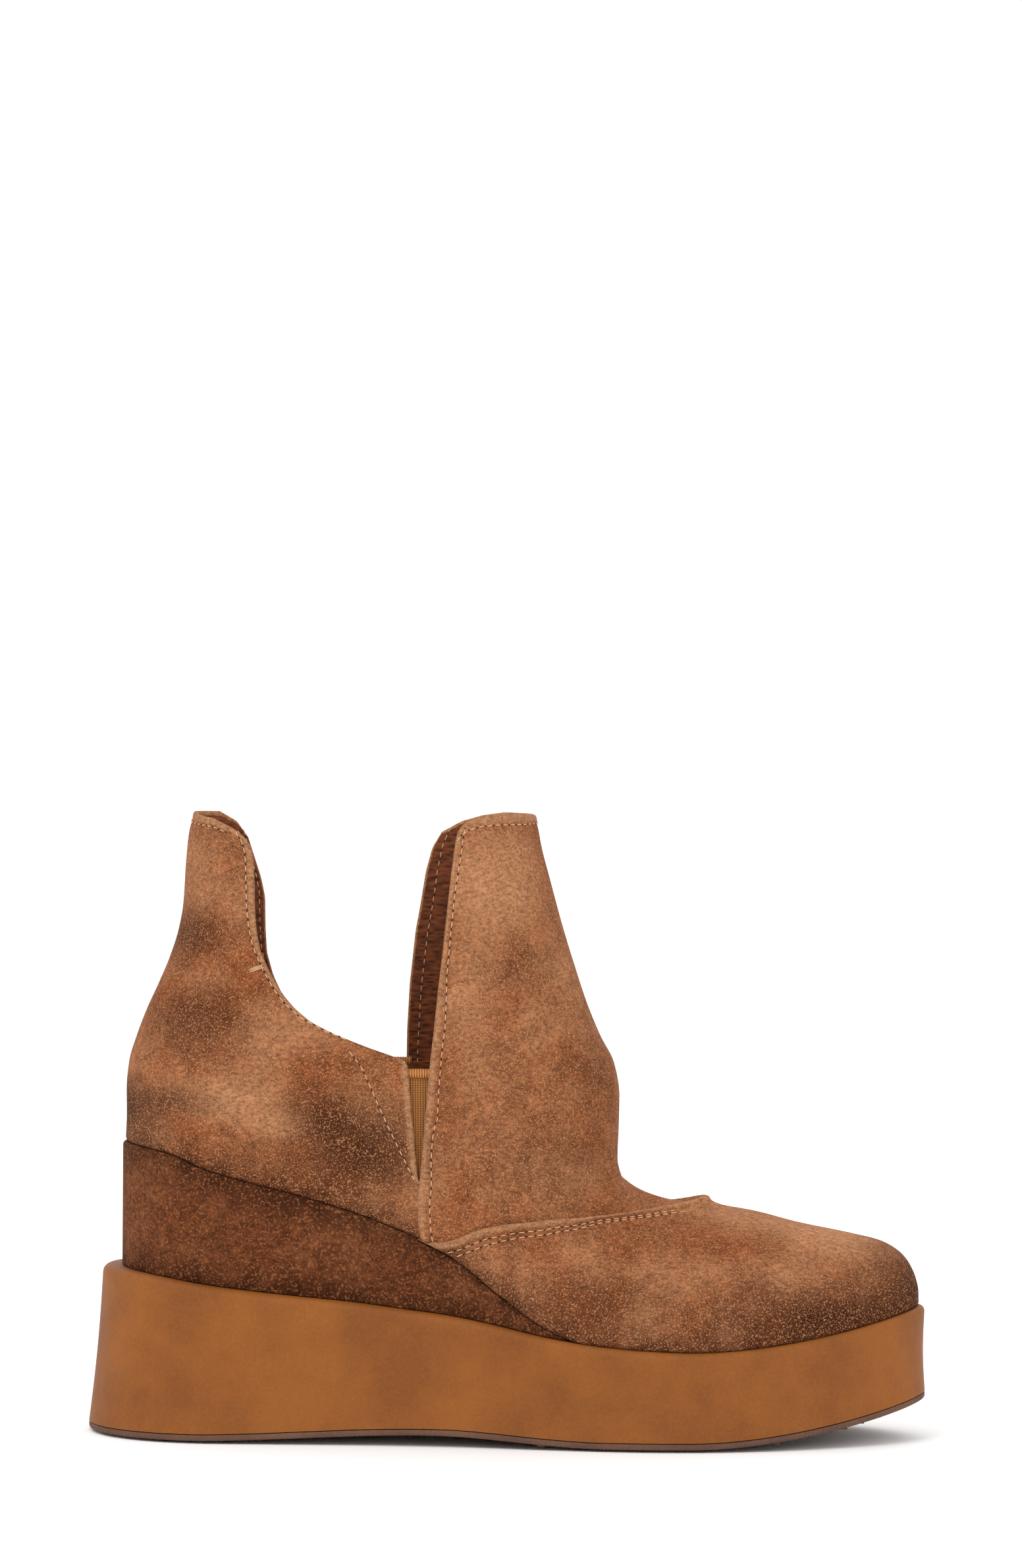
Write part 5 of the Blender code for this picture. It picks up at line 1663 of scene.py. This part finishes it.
for side, side_first in ((LATERAL, True), (MEDIAL, False)):
    piece, gaps = half_of(front_grid, front_sides, side_first)
    line = inset_line(piece, gaps, FRONT_INSET)
    line = line[line[:, 1] < HIGHEST_LEVEL]
    seam("front_seam_" + side.name, line, LAP - THREAD_DEPTH)
    seam("front_lining_seam_" + side.name, line, -WALL - 0.17 * MM, inside=True)
top_line = inset_line(np.swapaxes(front_grid, 0, 1), front_head.T, STITCH_INSET)
seam("front_top_seam", top_line, LAP - THREAD_DEPTH)
vamp_places = around_upper(vamp_grid[..., 1], vamp_grid[..., 0])
vamp_gaps = run_from(vamp_places, 0, True)
for row, inset in enumerate(DOUBLE_ROW):
    line = inset_line(np.swapaxes(vamp_grid, 0, 1), vamp_gaps.T, inset)
    seam(f"vamp_seam_{row}", line, 2 * LAP - THREAD_DEPTH, start=0.5 + 0.3 * row)
for side in (LATERAL, MEDIAL):
    forward = side.tip[0] - LATERAL.tip[0]
    slanted = unrolled([(across + forward, up) for across, up in SLANTED_SEAM], side)
    seam("slanted_seam_" + side.name, slanted, 0.05 * MM)
tack_places, tack_direction, tack_outward = seam_points(unrolled(BAR_TACK, LATERAL), 0.1 * MM, TACK_PITCH)
across_tack = np.cross(tack_direction, tack_outward)
grown_row("bar_tack", (tack_places, across_tack, tack_outward), TACK_LENGTH, THREAD_THICKNESS,
          THREAD_THICKNESS, tan_thread, 0.1)

# %% [markdown]
# Under the outsole, low bars give grip. They are one shape repeated over the forefoot and the heel,
# in staggered rows, so the same kind of tree makes them, this time from a box.

# %% Grip bars
BAR_LENGTH, BAR_BREADTH = 9.0 * MM, 2.4 * MM
BAR_ROWS, BAR_SPACING = 5.2 * MM, 11.5 * MM
BAR_MARGIN = 7.0 * MM            # bare rubber round the sole's edge
ENDS_BARE = (10 * MM, 9 * MM)    # behind the first row and in front of the last
BARE_WAIST = (0.20, 0.50)        # stations between which the arch has no bars
MOST_BARS = 4                    # on each side of the middle
tread_ring = sole_ring(1.0)
half_count = len(tread_ring) // 2
lateral_edge = tread_ring[: half_count + 1]
medial_edge = np.vstack((tread_ring[half_count:], tread_ring[:1]))[::-1]
bars = []
for row, x in enumerate(np.arange(BACK_X + ENDS_BARE[0], FRONT_X - ENDS_BARE[1], BAR_ROWS)):
    if BARE_WAIST[0] < float(station(x)) < BARE_WAIST[1]:
        continue
    low_y = np.interp(x, lateral_edge[:, 0], lateral_edge[:, 1]) + BAR_MARGIN
    high_y = np.interp(x, medial_edge[:, 0], medial_edge[:, 1]) - BAR_MARGIN
    middle_y = (low_y + high_y) / 2 + (row % 2) * BAR_SPACING / 2
    for step in range(-MOST_BARS, MOST_BARS + 1):
        y = middle_y + step * BAR_SPACING
        if low_y < y < high_y:
            bars.append((x, y, float(floor_line(x)) + TREAD_DEPTH / 2 + 0.05 * MM))
bars = np.array(bars)
across_sole = np.tile((0.0, 1.0, 0.0), (len(bars), 1))
downwards = np.tile((0.0, 0.0, -1.0), (len(bars), 1))
bar_maker = instancer("grip bars", "GeometryNodeMeshCube", Size=(1.0, 1.0, 1.0))
grown_row("grip_bars", (bars, across_sole, downwards), BAR_LENGTH, BAR_BREADTH, TREAD_DEPTH, brown_rubber,
          0.0, bar_maker)
print("Grip bars:", len(bars))
